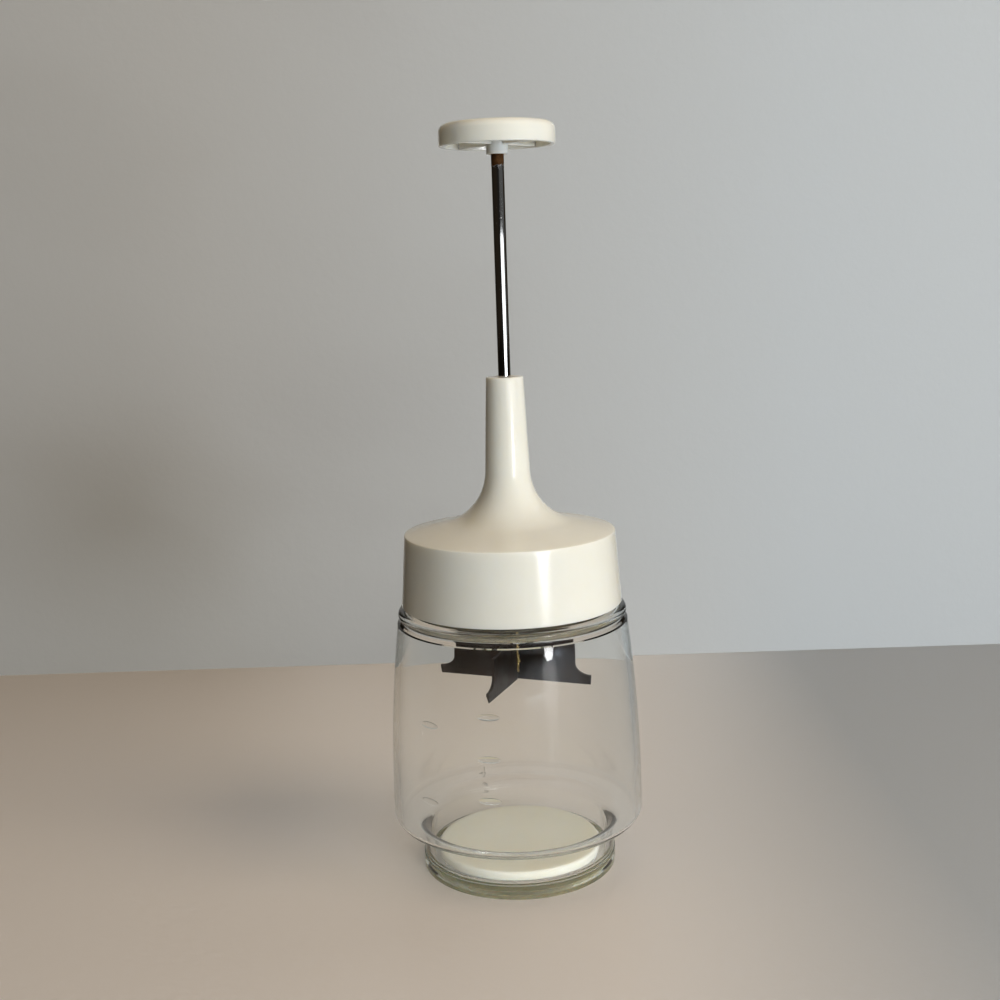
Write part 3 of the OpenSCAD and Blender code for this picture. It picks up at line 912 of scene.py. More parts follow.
@dataclass
class Jar:
    """Glass jar: foot ring, barrel, bead below the lid, and threaded neck."""

    largest_r: float = 44.5
    side_curve: float = 522
    side_steps: int = 22
    barrel_h: float = 72.5
    widest_h: float = 7.6
    corner_r: float = 3.2
    wall: float = 2.3
    shelf_t: float = 1.6
    shelf_rise: float = 0.9
    fillet_r: float = 4.0
    foot_r: float = 34.6
    foot_h: float = 17.4
    rim_h: float = 4.8
    rim_out: float = 0.6
    floor_t: float = 4.5
    foot_edge_r: float = 1
    stand_w: float = 5
    punt_h: float = 1.2
    bead_r: float = 40.1
    bead_edge_r: float = 1.7
    neck_r: float = 32.4
    neck_h: float = 21.2
    neck_t: float = 2.9
    lip_r: float = 1.0
    thread_pitch: float = 4.2
    thread_turn: float = 450
    thread_h: float = 1.3
    thread_w: tuple[float, float] = (2.6, 0.9)
    thread_drop: float = 8.6
    mark_size: tuple[float, float, float] = (3.8, 1.15, 0.75)
    digit_size: float = 4.6
    digit_t: float = 0.45
    flats: int = 160

    @property
    def groove_z(self) -> float:
        """Height of the groove under the bead."""
        return self.foot_h + self.barrel_h

    @property
    def shoulder_z(self) -> float:
        """Height of the glass shoulder."""
        shoulder_rise = 0.4
        return self.groove_z + 3 * self.bead_edge_r + shoulder_rise

    @property
    def lip_z(self) -> float:
        """Height of the lip."""
        return self.shoulder_z + self.neck_h

    @property
    def inner_foot_r(self) -> float:
        """Radius of the well that the chopping board lies in."""
        return self.foot_r - self.rim_out - self.wall

    @property
    def inner_neck_r(self) -> float:
        """Radius inside the neck."""
        return self.neck_r - self.neck_t

    def side(self, z: float, inset: float = 0) -> float:
        """Radius of the barrel at a height, inset millimetres inside its face."""
        middle = self.foot_h + self.widest_h
        return self.largest_r - inset - (z - middle) ** 2 / (2 * self.side_curve)

    def outside(self) -> list[Point]:
        """Outline of the outside, from the middle of the base up to the lip.

        Returns:
            The outline's points.
        """
        foot_wall_r = self.foot_r - self.rim_out
        stand_r = self.foot_r - self.foot_edge_r
        shelf_fall = 0.2
        side_low = self.foot_h + self.corner_r + 1
        rise = (self.groove_z - side_low) / self.side_steps
        punt_slope, punt_edge_r = 1.5, stand_r - self.stand_w
        bead_z = self.groove_z + 2 * self.bead_edge_r
        notch = 0.3
        shoulder_w, shoulder_fall, neck_foot_r = 2, 0.1, 0.6
        base = soften([(0, self.punt_h, 0), (punt_edge_r - punt_slope, self.punt_h, 1),
                       (punt_edge_r, 0, 0.5), (stand_r, 0, 0)], 4, closed=False)
        return [
            *base,
            *arc(stand_r, self.foot_edge_r, self.foot_edge_r, -90, 0, 6)[1:],
            *arc(foot_wall_r, self.rim_h, self.rim_out, 0, 90, 6),
            *arc(foot_wall_r + self.fillet_r, self.foot_h - self.fillet_r - shelf_fall, self.fillet_r,
                 180, 95, 10),
            *arc(self.largest_r - self.corner_r, self.foot_h + self.corner_r + self.shelf_rise,
                 self.corner_r, -80, 0, 14),
            *[(self.side(side_low + rise * i), side_low + rise * i)
              for i in range(1, self.side_steps + 1)],
            (self.bead_r - notch, self.groove_z + notch),
            *arc(self.bead_r - self.bead_edge_r, bead_z, self.bead_edge_r, -55, 80, 12),
            (self.neck_r + shoulder_w, self.shoulder_z - shoulder_fall),
            *arc(self.neck_r + neck_foot_r, self.shoulder_z + neck_foot_r, neck_foot_r, 270, 180, 4),
            *arc(self.neck_r - self.lip_r, self.lip_z - self.lip_r, self.lip_r, 0, 90, 5),
        ]

    def inside(self) -> list[Point]:
        """Outline of the inside, from the lip down to the middle of the floor.

        Returns:
            The outline's points.
        """
        throat_r, throat_fall, arch_r, arch_rise = 2.5, 1, 2.8, 0.6
        high = self.groove_z + arch_rise
        corner_r = self.corner_r - self.wall
        low = self.foot_h + self.shelf_t + corner_r + self.shelf_rise
        step = (low - high) / self.side_steps
        well_r, edge_r = self.fillet_r + self.wall, 2.2
        return [
            *arc(self.inner_neck_r + self.lip_r, self.lip_z - self.lip_r, self.lip_r, 90, 180, 5),
            *arc(self.inner_neck_r + throat_r, self.shoulder_z - throat_fall, throat_r, 180, 260, 8),
            *arc(self.side(high, self.wall) - arch_r, high, arch_r, 80, 0, 12),
            *[(self.side(high + step * i, self.wall), high + step * i)
              for i in range(1, self.side_steps + 1)],
            *arc(self.side(low, self.wall) - corner_r, low, corner_r, 0, -80, 10),
            *arc(self.inner_foot_r + well_r, self.foot_h + self.shelf_t - well_r, well_r, 95, 180, 10),
            *arc(self.inner_foot_r - edge_r, self.floor_t + edge_r, edge_r, 0, -90, 8),
            (0, self.floor_t),
        ]

    def glass(self) -> bpy.types.Object:
        """Make the jar's glass, with its thread and its scale fused on.

        Returns:
            The glass.
        """
        piece = lathe("jar_glass", self.outside() + self.inside(), self.flats)
        sink = 0.4
        ridge = thread("jar_thread", self.neck_r - sink, self.neck_r + self.thread_h, self.thread_w, 0,
                       self.lip_z - self.thread_drop, self.thread_pitch, self.thread_turn)
        fuse(piece, ridge)
        fuse(piece, self.marks())
        return piece

    def wrap(self, piece: bpy.types.Object, bearing: float, height: float) -> bpy.types.Object:
        """Bend a flat piece round the barrel.

        Args:
            piece: A piece with its width along X, its height along Y and its face towards +Z.
            bearing: Angle in degrees from the front (-Y) towards +X of the piece's middle.
            height: Height of the piece's middle above the table.

        Returns:
            The same piece, on the barrel's face.
        """
        for vertex in piece.data.vertices:
            across, up, out = vertex.co / MM
            angle = math.radians(bearing) + across / self.side(height)
            radius = self.side(height + up) + out
            vertex.co = Vector((radius * math.sin(angle), -radius * math.cos(angle), height + up)) * MM
        return piece

    def bar(self, share: float = 1.0) -> bpy.types.Object:
        """Make one raised bar of the scale, flat and at the origin.

        Args:
            share: Share of the full height that it stands proud.

        Returns:
            The bar.
        """
        deselect()
        bpy.ops.mesh.primitive_uv_sphere_add(segments=28, ring_count=12, radius=MM)
        piece = name_piece("bar")
        width, height, proud = self.mark_size
        piece.data.transform(Matrix.Diagonal((width, height, proud * share, 1)))
        return piece

    def digit(self, body: str) -> bpy.types.Object:
        """Make one raised digit of the scale, flat and at the origin.

        Args:
            body: The digit.

        Returns:
            The digit's mesh.
        """
        deselect()
        bpy.ops.object.text_add()
        text = bpy.context.active_object
        text.data.body = body
        text.data.size = self.digit_size * MM
        text.data.extrude = self.digit_t * MM
        text.data.align_x = text.data.align_y = "CENTER"
        text.data.resolution_u = 3
        bpy.ops.object.convert(target="MESH")
        piece = name_piece("digit")
        clean(piece)
        return piece

    def marks(self) -> bpy.types.Object:
        """Make the raised scale: bars on the front and on the side, and plain numbers on the front.

        Returns:
            The marks, in place on the barrel.
        """
        front, side, side_share = -12.0, -42.0, 0.4
        front_heights, side_heights = (39.6, 53.7, 67.8), (36.0, 62.5)
        digits = (("2", front - 2, 44.2), ("4", front - 3, 49.4))
        marks = [self.wrap(self.bar(), front, height) for height in front_heights]
        marks += [self.wrap(self.bar(side_share), side, height) for height in side_heights]
        marks += [self.wrap(self.digit(body), bearing, height) for body, bearing, height in digits]
        return join("marks", marks)

    def build(self, paint: Paint) -> None:
        """Make the jar and dress it."""
        paint.dress(self.glass(), Slot.GLASS, Body.JAR, "jar")


def thread(name: str, root_r: float, crest_r: float, widths: tuple[float, float], start: float, z: float,
           pitch: float, turn: float) -> bpy.types.Object:
    """Wind a screw thread round the axis, with ends that fade into the wall.

    Args:
        name: Name of the piece.
        root_r: Radius of the thread's foot.
        crest_r: Radius of its crest.
        widths: Width at the foot and at the crest.
        start: Angle where it starts, in degrees.
        z: Height of its middle where the angle is 0.
        pitch: Rise in one turn.
        turn: Length in degrees.

    Returns:
        The closed ridge.
    """
    deselect()
    step_deg, end_share, fade_in = 5, 0.15, 12
    bpy.ops.mesh.primitive_grid_add(x_subdivisions=int(turn / step_deg), y_subdivisions=3, size=1)
    piece = name_piece(name)
    rows = [(root_r, -widths[0] / 2), (crest_r, -widths[1] / 2), (crest_r, widths[1] / 2),
            (root_r, widths[0] / 2)]
    for vertex in piece.data.vertices:
        along = vertex.co.x + 0.5
        row = round((vertex.co.y + 0.5) * 3)
        fade = min(1.0, end_share + fade_in * min(along, 1 - along))
        radius, width = rows[row]
        radius = root_r + (radius - root_r) * fade
        angle = math.radians(start + turn * along)
        height = z + pitch * math.degrees(angle) / 360 + width
        vertex.co = Vector((radius * math.cos(angle), radius * math.sin(angle), height)) * MM
    activate(piece)
    bpy.ops.object.mode_set(mode="EDIT")
    bpy.ops.mesh.select_all(action="SELECT")
    bpy.ops.mesh.region_to_loop()
    bpy.ops.mesh.fill()
    bpy.ops.object.mode_set(mode="OBJECT")
    clean(piece)
    shade(piece)
    return piece


@dataclass
class ChoppingBoard:
    """Cream plastic disc that lies on the jar's floor."""

    radius: float = 29.0
    thickness: float = 3.5
    edge: float = 0.8

    def build(self, paint: Paint, jar: Jar) -> None:
        """Make the board and dress it.

        Args:
            paint: The finishes.
            jar: The jar that the board lies in.
        """
        low = jar.floor_t
        high = low + self.thickness
        # A point just inside the edge keeps the face flat in the shading.
        outline = soften([(0, low, 0), (self.radius, low, self.edge), (self.radius, high, self.edge),
                          (self.radius - 2 * self.edge, high, 0), (0, high, 0)], 6, closed=False)
        paint.dress(lathe("chopping_disc", outline, 128), Slot.BOARD, Body.JAR, "chopping_board")


# ---------------------------------------------------------------- the lid


@dataclass
class Lid:
    """Cream lid: skirt, sloped shoulder and trumpet neck, with a tube and ribs inside it."""

    skirt_r: float = 38.6
    skirt_z: float = 96.1
    edge_r: float = 36.7
    edge_z: float = 121.3
    top_z: float = 175.0
    tilt: float = 13
    flare_r: float = 19
    neck_r: float = 6.4
    taper: float = 2.4
    wall: float = 2.2
    skirt_wall_r: float = 34.4
    brim: float = 0.8
    ceiling_z: float = 118.4
    seat_r: float = 27.5
    tube_r: float = 6.6
    tube_z: float = 88.3
    bore_r: float = 4.7
    bore_top_z: float = 172.0
    mouth_r: float = 2.65
    rib_t: float = 1.8
    thread_h: float = 1.5
    thread_w: tuple[float, float] = (2.4, 0.8)
    thread_start: float = -90
    thread_drop: float = 1.6
    seal_low: float = 0.05
    seal_high: float = 1.75
    seal_soft: float = 0.4
    soft: float = 0.45
    flats: int = 160

    def flare_centre(self) -> Vector:
        """Centre of the arc that touches the neck's side and the shoulder.

        Returns:
            The centre, as (radius, height).
        """
        taper, tilt = math.radians(self.taper), math.radians(self.tilt)
        first = self.flare_r + math.cos(taper) * self.neck_r + math.sin(taper) * self.top_z
        second = self.flare_r + math.sin(tilt) * self.edge_r + math.cos(tilt) * self.edge_z
        between = math.cos(taper + tilt)
        return Vector(((first * math.cos(tilt) - second * math.sin(taper)) / between,
                       (second * math.cos(taper) - first * math.sin(tilt)) / between))

    def outline(self) -> list[Point]:
        """Cross-section of the shell, outside and then inside.

        Returns:
            The closed outline's points.
        """
        centre = self.flare_centre()
        flare = arc(centre.x, centre.y, self.flare_r, 270 - self.tilt, 180 + self.taper, 28)
        inner_r = self.flare_r + self.wall
        turn = math.degrees(math.acos(min(1, (centre.x - self.tube_r) / inner_r)))
        inner_flare = arc(centre.x, centre.y, inner_r, 270 - self.tilt, 180 + turn, 20)
        tilt = math.radians(self.tilt)
        seat_top = self.edge_z + (self.edge_r - self.seat_r) * math.tan(tilt) - self.wall / math.cos(tilt)
        soft = self.soft
        # Points near the ends of the long faces keep those faces flat in the shading.
        near_end, neck_end = 0.05, 1.5
        foot, edge = Vector((self.skirt_r, self.skirt_z)), Vector((self.edge_r, self.edge_z))
        return soften([
            (self.skirt_wall_r + self.brim, self.skirt_z, soft),
            (self.skirt_r, self.skirt_z, soft),
            (*foot.lerp(edge, near_end), 0),
            (*foot.lerp(edge, 1 - near_end), 0),
            (self.edge_r, self.edge_z, soft),
            *[(x, z, 0) for x, z in flare],
            (self.neck_r + neck_end * math.tan(math.radians(self.taper)), self.top_z - neck_end, 0),
            (self.neck_r, self.top_z, 0.5),
            (self.mouth_r, self.top_z, 0.4),
            (self.mouth_r, self.bore_top_z, 0.1),
            (self.bore_r, self.bore_top_z, 0.1),
            (self.bore_r, self.tube_z, 0.3),
            (self.tube_r, self.tube_z, 0.3),
            (self.tube_r, inner_flare[-1][1], 0),
            *[(x, z, 0) for x, z in reversed(inner_flare[:-1])],
            (self.seat_r, seat_top, 0.6),
            (self.seat_r, self.ceiling_z, 0.4),
            (self.skirt_wall_r, self.ceiling_z, 0.4),
            (self.skirt_wall_r, self.skirt_z + 2, 0.3),
            (self.skirt_wall_r + self.brim, self.skirt_z + 1, 0.3),
        ], 5)

    def ribs(self) -> list[bpy.types.Object]:
        """Make the four ribs between the inner tube and the ceiling.

        Returns:
            The ribs.
        """
        drop, up, out, sink, edge = 7.0, 5, 4.0, 0.3, 0.25
        half = self.rib_t / 2
        low = (self.tube_r - sink, -half, self.ceiling_z - drop)
        high = (self.seat_r - out, half, self.ceiling_z + up)
        return [shift(block("rib", low, high, edge), (0, 0, 0), turn) for turn in range(45, 360, 90)]

    def build(self, paint: Paint, jar: Jar) -> None:
        """Make the lid's pieces and dress them.

        Args:
            paint: The finishes.
            jar: The jar that the lid is screwed on.
        """
        shell = lathe("lid_cover", self.outline(), self.flats)
        sink = 0.4
        ridge = thread("lid_thread", self.skirt_wall_r + sink, self.skirt_wall_r - self.thread_h,
                       self.thread_w, self.thread_start, jar.lip_z - jar.thread_drop - self.thread_drop,
                       jar.thread_pitch, jar.thread_turn)
        shell = join("lid_cover", [shell, ridge, *self.ribs()])
        paint.dress(shell, Slot.CREAM, Body.LID, "lid_shell")
        outer_gap, inner_gap = 0.4, 0.8
        outline = ring_outline(self.skirt_wall_r - outer_gap, self.seat_r + inner_gap,
                               jar.lip_z + self.seal_low, jar.lip_z + self.seal_high, self.seal_soft)
        paint.dress(lathe("sealing_ring", outline, 128), Slot.SEAL, Body.SEAL, "lid_seal")


@dataclass
class SpringPack:
    """What the lid's neck holds: the bush, the stop ring, the spring, its plug, washer and clip."""

    lid: Lid
    hub_r: float = 2.21
    bush_low: float = 168.0
    stop_low: float = 166.6
    washer_low: float = 164.8
    washer_high: float = 165.6
    plug_low: float = 86.3
    sleeve_high: float = 92.3
    wire_r: float = 0.35
    coil_r: float = 3.6
    turns: int = 21
    steps: int = 24
    travel: float = 59.5

    @property
    def spring_low(self) -> float:
        """Height of the spring's lower end, level with the end of the lid's tube."""
        return self.lid.tube_z

    def wire_place(self, t: float) -> Vector:
        """Find a place on the spring's wire.

        Args:
            t: Share of the turns, from 0 at the lower end to 1 at the upper end.

        Returns:
            The place in millimetres.
        """
        wire = 2 * self.wire_r
        turn = t * self.turns
        pitch = (self.washer_low - self.spring_low - 3 * wire) / (self.turns - 2)
        rise = min(turn, 1) * wire + min(max(turn - 1, 0), self.turns - 2) * pitch
        rise += max(turn - self.turns + 1, 0) * wire
        angle = TAU * turn
        return Vector((self.coil_r * math.cos(angle), self.coil_r * math.sin(angle),
                       self.spring_low + self.wire_r + rise))

    def spring(self) -> bpy.types.Object:
        """Make the return spring at its full length."""
        return helix("coil_spring", self.wire_place, self.turns * self.steps, self.wire_r, 2)

    def plug(self) -> bpy.types.Object:
        """Make the plug that closes the inner tube.

        Returns:
            The plug.
        """
        step_z = self.spring_low
        gap = 0.15
        sleeve_r = self.coil_r + self.wire_r + gap
        return lathe("tube_plug", soften([
            (self.lid.tube_r, self.plug_low, 0.4),
            (self.lid.tube_r, step_z, 0.15),
            (self.lid.bore_r, step_z, 0),
            (self.lid.bore_r, self.sleeve_high, 0.25),
            (sleeve_r, self.sleeve_high, 0.2),
            (sleeve_r, step_z, 0.1),
            (self.hub_r, step_z, 0.2),
            (self.hub_r, self.plug_low, 0.2),
        ], 4))

    def build(self, paint: Paint) -> None:
        """Make the pieces in the neck and dress them.

        Args:
            paint: The finishes.
        """
        bush = lathe("neck_bush",
                     ring_outline(self.lid.bore_r, self.hub_r, self.bush_low, self.lid.bore_top_z, 0.25))
        paint.dress(bush, Slot.INNER, Body.LID, "guide_bush")
        stop_gap, stop_bore, washer_gap = 0.3, 0.44, 0.2
        stop = lathe("stop_ring", ring_outline(self.lid.bore_r - stop_gap, self.hub_r + stop_bore,
                                               self.stop_low, self.bush_low, 0.35))
        paint.dress(stop, Slot.STOP, Body.LID, "stop_bumper")
        paint.dress(self.plug(), Slot.INNER, Body.LID, "spring_plug")
        spring = self.spring()
        paint.dress(spring, Slot.STEEL, Body.LID, "return_spring")
        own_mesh(spring)
        washer = lathe("thin_washer", ring_outline(self.lid.bore_r - washer_gap, self.hub_r,
                                                   self.washer_low, self.washer_high, 0.1))
        paint.dress(washer, Slot.STEEL, Body.WASHER, "spring_washer")
        clip = copy_node("groove_clip", "retaining_clip")
        bevel(clip, 0.12)
        paint.dress(clip, Slot.STEEL, Body.PLUNGER, "retaining_clip")


# ---------------------------------------------------------------- the plunger


@dataclass
class Plunger:
    """Chromed rod with a push knob and its threaded insert."""

    rod_r: float = 2.15
    rod_low: float = 81.5
    rod_high: float = 255.8
    groove_low: float = 165.7
    groove_high: float = 166.5
    groove_d: float = 0.5
    knob_r: float = 19.4
    rim_z: float = 251.6
    top_z: float = 259.7
    dome: float = 0.8
    edge_r: float = 2.6
    wall: float = 2
    boss_r: float = 3.65
    boss_z: float = 248.8
    insert_r: float = 2.9
    rib_t: float = 2
    rib_turn: float = 45

    def rod(self) -> bpy.types.Object:
        """Make the rod, with rounded ends and a groove for the clip.

        Returns:
            The rod.
        """
        deep = self.rod_r - self.groove_d
        # Points near the ends of the long face keep it flat in the shading.
        over_groove, under_top = 1, 2
        corners = [
            (0, self.rod_low, 0),
            (self.rod_r, self.rod_low, 0.3),
            (self.rod_r, self.groove_low, 0.08),
            (deep, self.groove_low, 0.05),
            (deep, self.groove_high, 0.05),
            (self.rod_r, self.groove_high, 0.08),
            (self.rod_r, self.groove_high + over_groove, 0),
            (self.rod_r, self.rod_high - under_top, 0),
            (self.rod_r, self.rod_high, 0.4),
            (0, self.rod_high, 0),
        ]
        return lathe("chromed_rod", soften(corners, 3, closed=False), 64)

    def cap(self) -> bpy.types.Object:
        """Make the knob: a hollow cap with a boss and four ribs.

        Returns:
            The knob.
        """
        edge_z = self.top_z - self.dome
        span = self.knob_r - self.edge_r
        dome_r = (span ** 2 + self.dome ** 2) / (2 * self.dome)
        dome_a = math.degrees(math.asin(span / dome_r))
        inner_top = edge_z - self.wall
        inner_r = self.knob_r - self.wall
        # Points near the ends of the side and of the boss keep those faces flat in the shading.
        over_rim, over_boss = 0.8, 0.7
        draft, sink, overlap = 0.3, self.top_z - self.dome - self.wall / 2, 0.3
        side = soften([(0, inner_top, 0), (inner_r, inner_top, 0.9), (inner_r + draft, self.rim_z, 0.35),
                       (self.knob_r, self.rim_z, 0.35), (self.knob_r, self.rim_z + over_rim, 0),
                       (self.knob_r, edge_z, 0)], 5, closed=False)
        shell = lathe("knob_cap", [
            *side[:-1],
            *arc(self.knob_r - self.edge_r, edge_z - self.edge_r, self.edge_r, 0, 90 - dome_a / 2, 12),
            *arc(0, self.top_z - dome_r, dome_r, 90 - dome_a, 90, 12)[1:],
        ], 128)
        boss = lathe("boss", soften([
            (self.insert_r, self.boss_z, 0.15),
            (self.boss_r, self.boss_z, 0.3),
            (self.boss_r, self.boss_z + over_boss, 0),
            (self.boss_r, sink, 0),
            (self.insert_r, sink, 0),
        ], 4), 64)
        half = self.rib_t / 2
        low = (self.boss_r - overlap, -half, self.rim_z + 0.3)
        high = (inner_r + 2 * overlap, half, sink)
        ribs = [shift(block("rib", low, high, 0.25), (0, 0, 0), turn + self.rib_turn)
                for turn in range(0, 360, 90)]
        return join("knob_cap", [shell, boss, *ribs])

    def build(self, paint: Paint) -> None:
        """Make the rod, the knob and the insert, and dress them.

        Args:
            paint: The finishes.
        """
        paint.dress(self.rod(), Slot.CHROME, Body.PLUNGER, "plunger_rod")
        paint.dress(self.cap(), Slot.CREAM, Body.PLUNGER, "knob")
        insert = lathe("brass_insert",
                       ring_outline(self.insert_r, self.rod_r, self.boss_z, self.rod_high, 0.15), 64)
        paint.dress(insert, Slot.BRASS, Body.PLUNGER, "knob_insert")


@dataclass
class Blades:
    """Two bent plates, the collar and pins that hold them, and the brazing between them."""

    plunger: Plunger
    turn: float = -21
    bend_x: float = 1.6
    low: float = 70.2
    bead_r: float = 0.62
    edge_soft: float = 0.09

    def wave(self, size: float, rate: float, at: float, start: float) -> float:
        """Height at a place of a wave of a size and a rate."""
        return size * math.sin(at * rate + start)

    def brazing(self, side: int) -> bpy.types.Object:
        """Make one seam of brazing metal, made uneven by a few waves.

        Args:
            side: 1 for the seam on the side of +X, and -1 for the other one.

        Returns:
            The seam.
        """
        steps, end_share, end_growth = 40, 0.35, 0.25
        high = self.plunger.rod_low
        rise = (high - self.low) / steps
        outline = [(0.0, self.low)]
        for i in range(steps + 1):
            swell = self.wave(0.13, 0.9, i, side) + self.wave(0.08, 2.3, i, 2 * side)
            ends = min(1.0, end_share + end_growth * min(i, steps - i))
            outline.append(((self.bead_r + swell) * ends, self.low + rise * i))
        outline.append((0.0, high))
        seam = lathe("seam", outline, 14)
        for vertex in seam.data.vertices:
            height = vertex.co.z / MM
            vertex.co.x += self.wave(0.22 * MM, 1.1, height, side)
            vertex.co.y += self.wave(0.16 * MM, 1.7, height, 2 * side)
        return shift(seam, (side * self.bend_x, 0, 0), self.turn)

    def build(self, paint: Paint) -> None:
        """Make the blades and what holds them, and dress them.

        Args:
            paint: The finishes.
        """
        for name, node in (("front_blade_plate", "blade_front"), ("rear_blade_plate", "blade_rear")):
            plate = copy_node(name, node)
            bevel(plate, self.edge_soft)
            paint.dress(plate, Slot.BLADE, Body.PLUNGER, node)
        collar = copy_node("blade_holder", "blade_collar")
        bevel(collar, 0.2, segments=3, crease=60)
        paint.dress(collar, Slot.STEEL, Body.PLUNGER, "blade_collar")
        pins = copy_node("cross_pins", "blade_pins")
        bevel(pins, 0.12, crease=60)
        paint.dress(pins, Slot.STEEL, Body.PLUNGER, "blade_pins")
        seams = join("brazed_seams", [self.brazing(1), self.brazing(-1)])
        paint.dress(seams, Slot.BRASS, Body.PLUNGER, "braze_bead")


# ---------------------------------------------------------------- the studio


@dataclass
class Studio:
    """Pale table and wall, with painted light and shade on them, soft light, and the camera at the
    photograph's angle.

    Bearings are in degrees round the rod's axis, from the camera's side (-Y) towards +X.
    """

    camera_place: tuple[float, float, float] = (0.0, -0.4579, 0.2129)
    pitch: float = 10.0
    yaw: float = -0.37
    roll: float = -1.93
    lens: float = 48.17
    wall_y: float = 0.247
    reach: float = 3.0
    table_gap: float = 0.0001
    aim_z: float = 0.12
    table: Colour = (0.80, 0.755, 0.725)
    # Painted shadow: the table's right is painted darker and bluer, standing for the shade near the wall.
    table_shadowed_right: Colour = (0.46, 0.49, 0.53)
    wall: Colour = (0.515, 0.495, 0.46)
    # Painted light: the wall's right is painted lighter and bluer, as if a window there lit it.
    wall_lit_right: Colour = (0.535, 0.56, 0.57)

    def camera(self) -> None:
        """Place the camera."""
        data = bpy.data.cameras.new("camera")
        data.lens = self.lens
        data.sensor_width = 36
        data.clip_start = 0.01
        camera = bpy.data.objects.new("camera", data)
        bpy.context.scene.collection.objects.link(camera)
        bpy.context.scene.camera = camera
        pitch, yaw, roll = (math.radians(a) for a in (self.pitch, self.yaw, self.roll))
        right = Vector((math.cos(yaw), -math.sin(yaw), 0))
        ahead = Vector((math.sin(yaw), math.cos(yaw), 0))
        forward = ahead * math.cos(pitch) - Vector((0, 0, 1)) * math.sin(pitch)
        up = ahead * math.sin(pitch) + Vector((0, 0, 1)) * math.cos(pitch)
        x_axis = right * math.cos(roll) + up * math.sin(roll)
        y_axis = up * math.cos(roll) - right * math.sin(roll)
        turned = Matrix((x_axis, y_axis, -forward)).transposed().to_4x4()
        camera.matrix_world = Matrix.Translation(self.camera_place) @ turned

    def matt(self, name: str, colours: tuple[Colour, Colour], ramp: tuple[float, float], skin: float,
             rough: float) -> Finish:
        """Start a matt surface with a faint skin.

        Args:
            name: Name of the finish.
            colours: Its colours on the left and on the right. The table's right one is painted shadow and
                the wall's right one is painted light.
            ramp: Where along X the left one starts to turn into the right one, and where it ends.
            skin: Scale of its skin.
            rough: Its roughness.

        Returns:
            The finish.
        """
        finish = Finish(name)
        graph = finish.graph
        left, right = (rgb(colour) for colour in colours)
        across = graph.spread(graph.coordinate("X"), *ramp)
        height = graph.noise(graph.place(), skin, 3)
        finish.set(Base_Color=graph.mix(across, left, right), Roughness=rough,
                   Normal=finish.bump(height, 0.3, 0.4))
        return finish

    def first_mirror(self, graph: Graph) -> Any:
        """Find reflections that haven't been through glass.

        Args:
            graph: The graph to place the nodes in.

        Returns:
            An output that is 1 for such a ray and 0 for any other.
        """
        ray = graph.add("LightPath").outputs
        open_air = graph.math("SUBTRACT", 1.0, ray["Transmission Depth"], clamp=True)
        return graph.math("MULTIPLY", ray["Is Glossy Ray"], open_air)

    def paint_shade(self, finish: Finish, mirrored: Any, bounced: Any, colour: Colour) -> bpy.types.Node:
        """Paint shade on a surface, which reflections and the light that bounces off it see.

        Args:
            finish: The surface's finish.
            mirrored: How far reflections see the painted shade.
            bounced: How far the light that bounces off it carries the painted shade.
            colour: Colour of the painted shade.

        Returns:
            The mixed shader.
        """
        graph = finish.graph
        glossy = graph.math("MULTIPLY", mirrored, self.first_mirror(graph))
        diffuse = graph.math("MULTIPLY", bounced, graph.add("LightPath").outputs["Is Diffuse Ray"])
        # The dark diffuse shader is painted shade, mixed in for those rays.
        dark = graph.add("BsdfDiffuse", {"Color": rgb(colour)})
        return graph.mix_shaders(graph.math("MAXIMUM", glossy, diffuse), finish.shader, dark)

    def table_finish(self) -> bpy.types.Material:
        """Make the table's finish: painted shade that reflections see away from the jar, and painted shade
        on its left in the light that bounces off it.

        Returns:
            The material.
        """
        finish = self.matt("table_top", (self.table, self.table_shadowed_right), (0.03, 0.15), 240.0, 0.4)
        graph = finish.graph
        away = graph.add("VectorMath", {0: graph.place()}, operation="LENGTH").outputs["Value"]
        left = graph.spread(graph.coordinate("X"), 0.05, -0.05, 0.0, 0.8)
        # Painted shade: the light that bounces off the table's open left is dark, and reflections see the
        # table dark far from the jar.
        left_bounce_painted_shade = graph.math("MULTIPLY", graph.spread(away, 0.05, 0.12), left)
        far = graph.spread(away, 0.6, 1.1)
        finish.show(self.paint_shade(finish, far, left_bounce_painted_shade, (0.02, 0.018, 0.015)))
        return finish.material

    def wall_finish(self) -> bpy.types.Material:
        """Make the wall's finish: seen from its front only, with painted shade at its sides in reflections
        and on its left in the light that bounces off it.

        Returns:
            The material.
        """
        finish = self.matt("painted_wall", (self.wall, self.wall_lit_right), (-0.16, 0.16), 180.0, 0.7)
        graph = finish.graph
        across = graph.coordinate("X")
        # Painted shade: reflections see the wall's sides dark, and the light that bounces off its left is
        # dark and brown.
        sides = graph.spread(graph.math("ABSOLUTE", across), 0.10, 0.17)
        left = graph.spread(across, 0.05, -0.15, 0.0, 0.85)
        front = self.paint_shade(finish, sides, left, (0.03, 0.022, 0.014))
        behind = graph.add("NewGeometry").outputs["Backfacing"]
        finish.show(graph.mix_shaders(behind, front, graph.add("BsdfTransparent")))
        return finish.material

    def glow(self, name: str, colour: Colour, strength: float) -> bpy.types.Material:
        """Make a lit surface.

        Args:
            name: Name of the finish.
            colour: Colour of its light.
            strength: Its strength, where 1 is white.

        Returns:
            The material.
        """
        finish = Finish(name)
        finish.show(finish.graph.add("Emission", {"Color": rgb(colour), "Strength": strength}))
        return finish.material

    def upright(self, bearing: float = 0) -> Matrix:
        """Turn that stands a flat sheet up, with its face towards a bearing."""
        return Matrix.Rotation(math.radians(bearing), 4, "Z") @ Matrix.Rotation(math.radians(90), 4, "X")

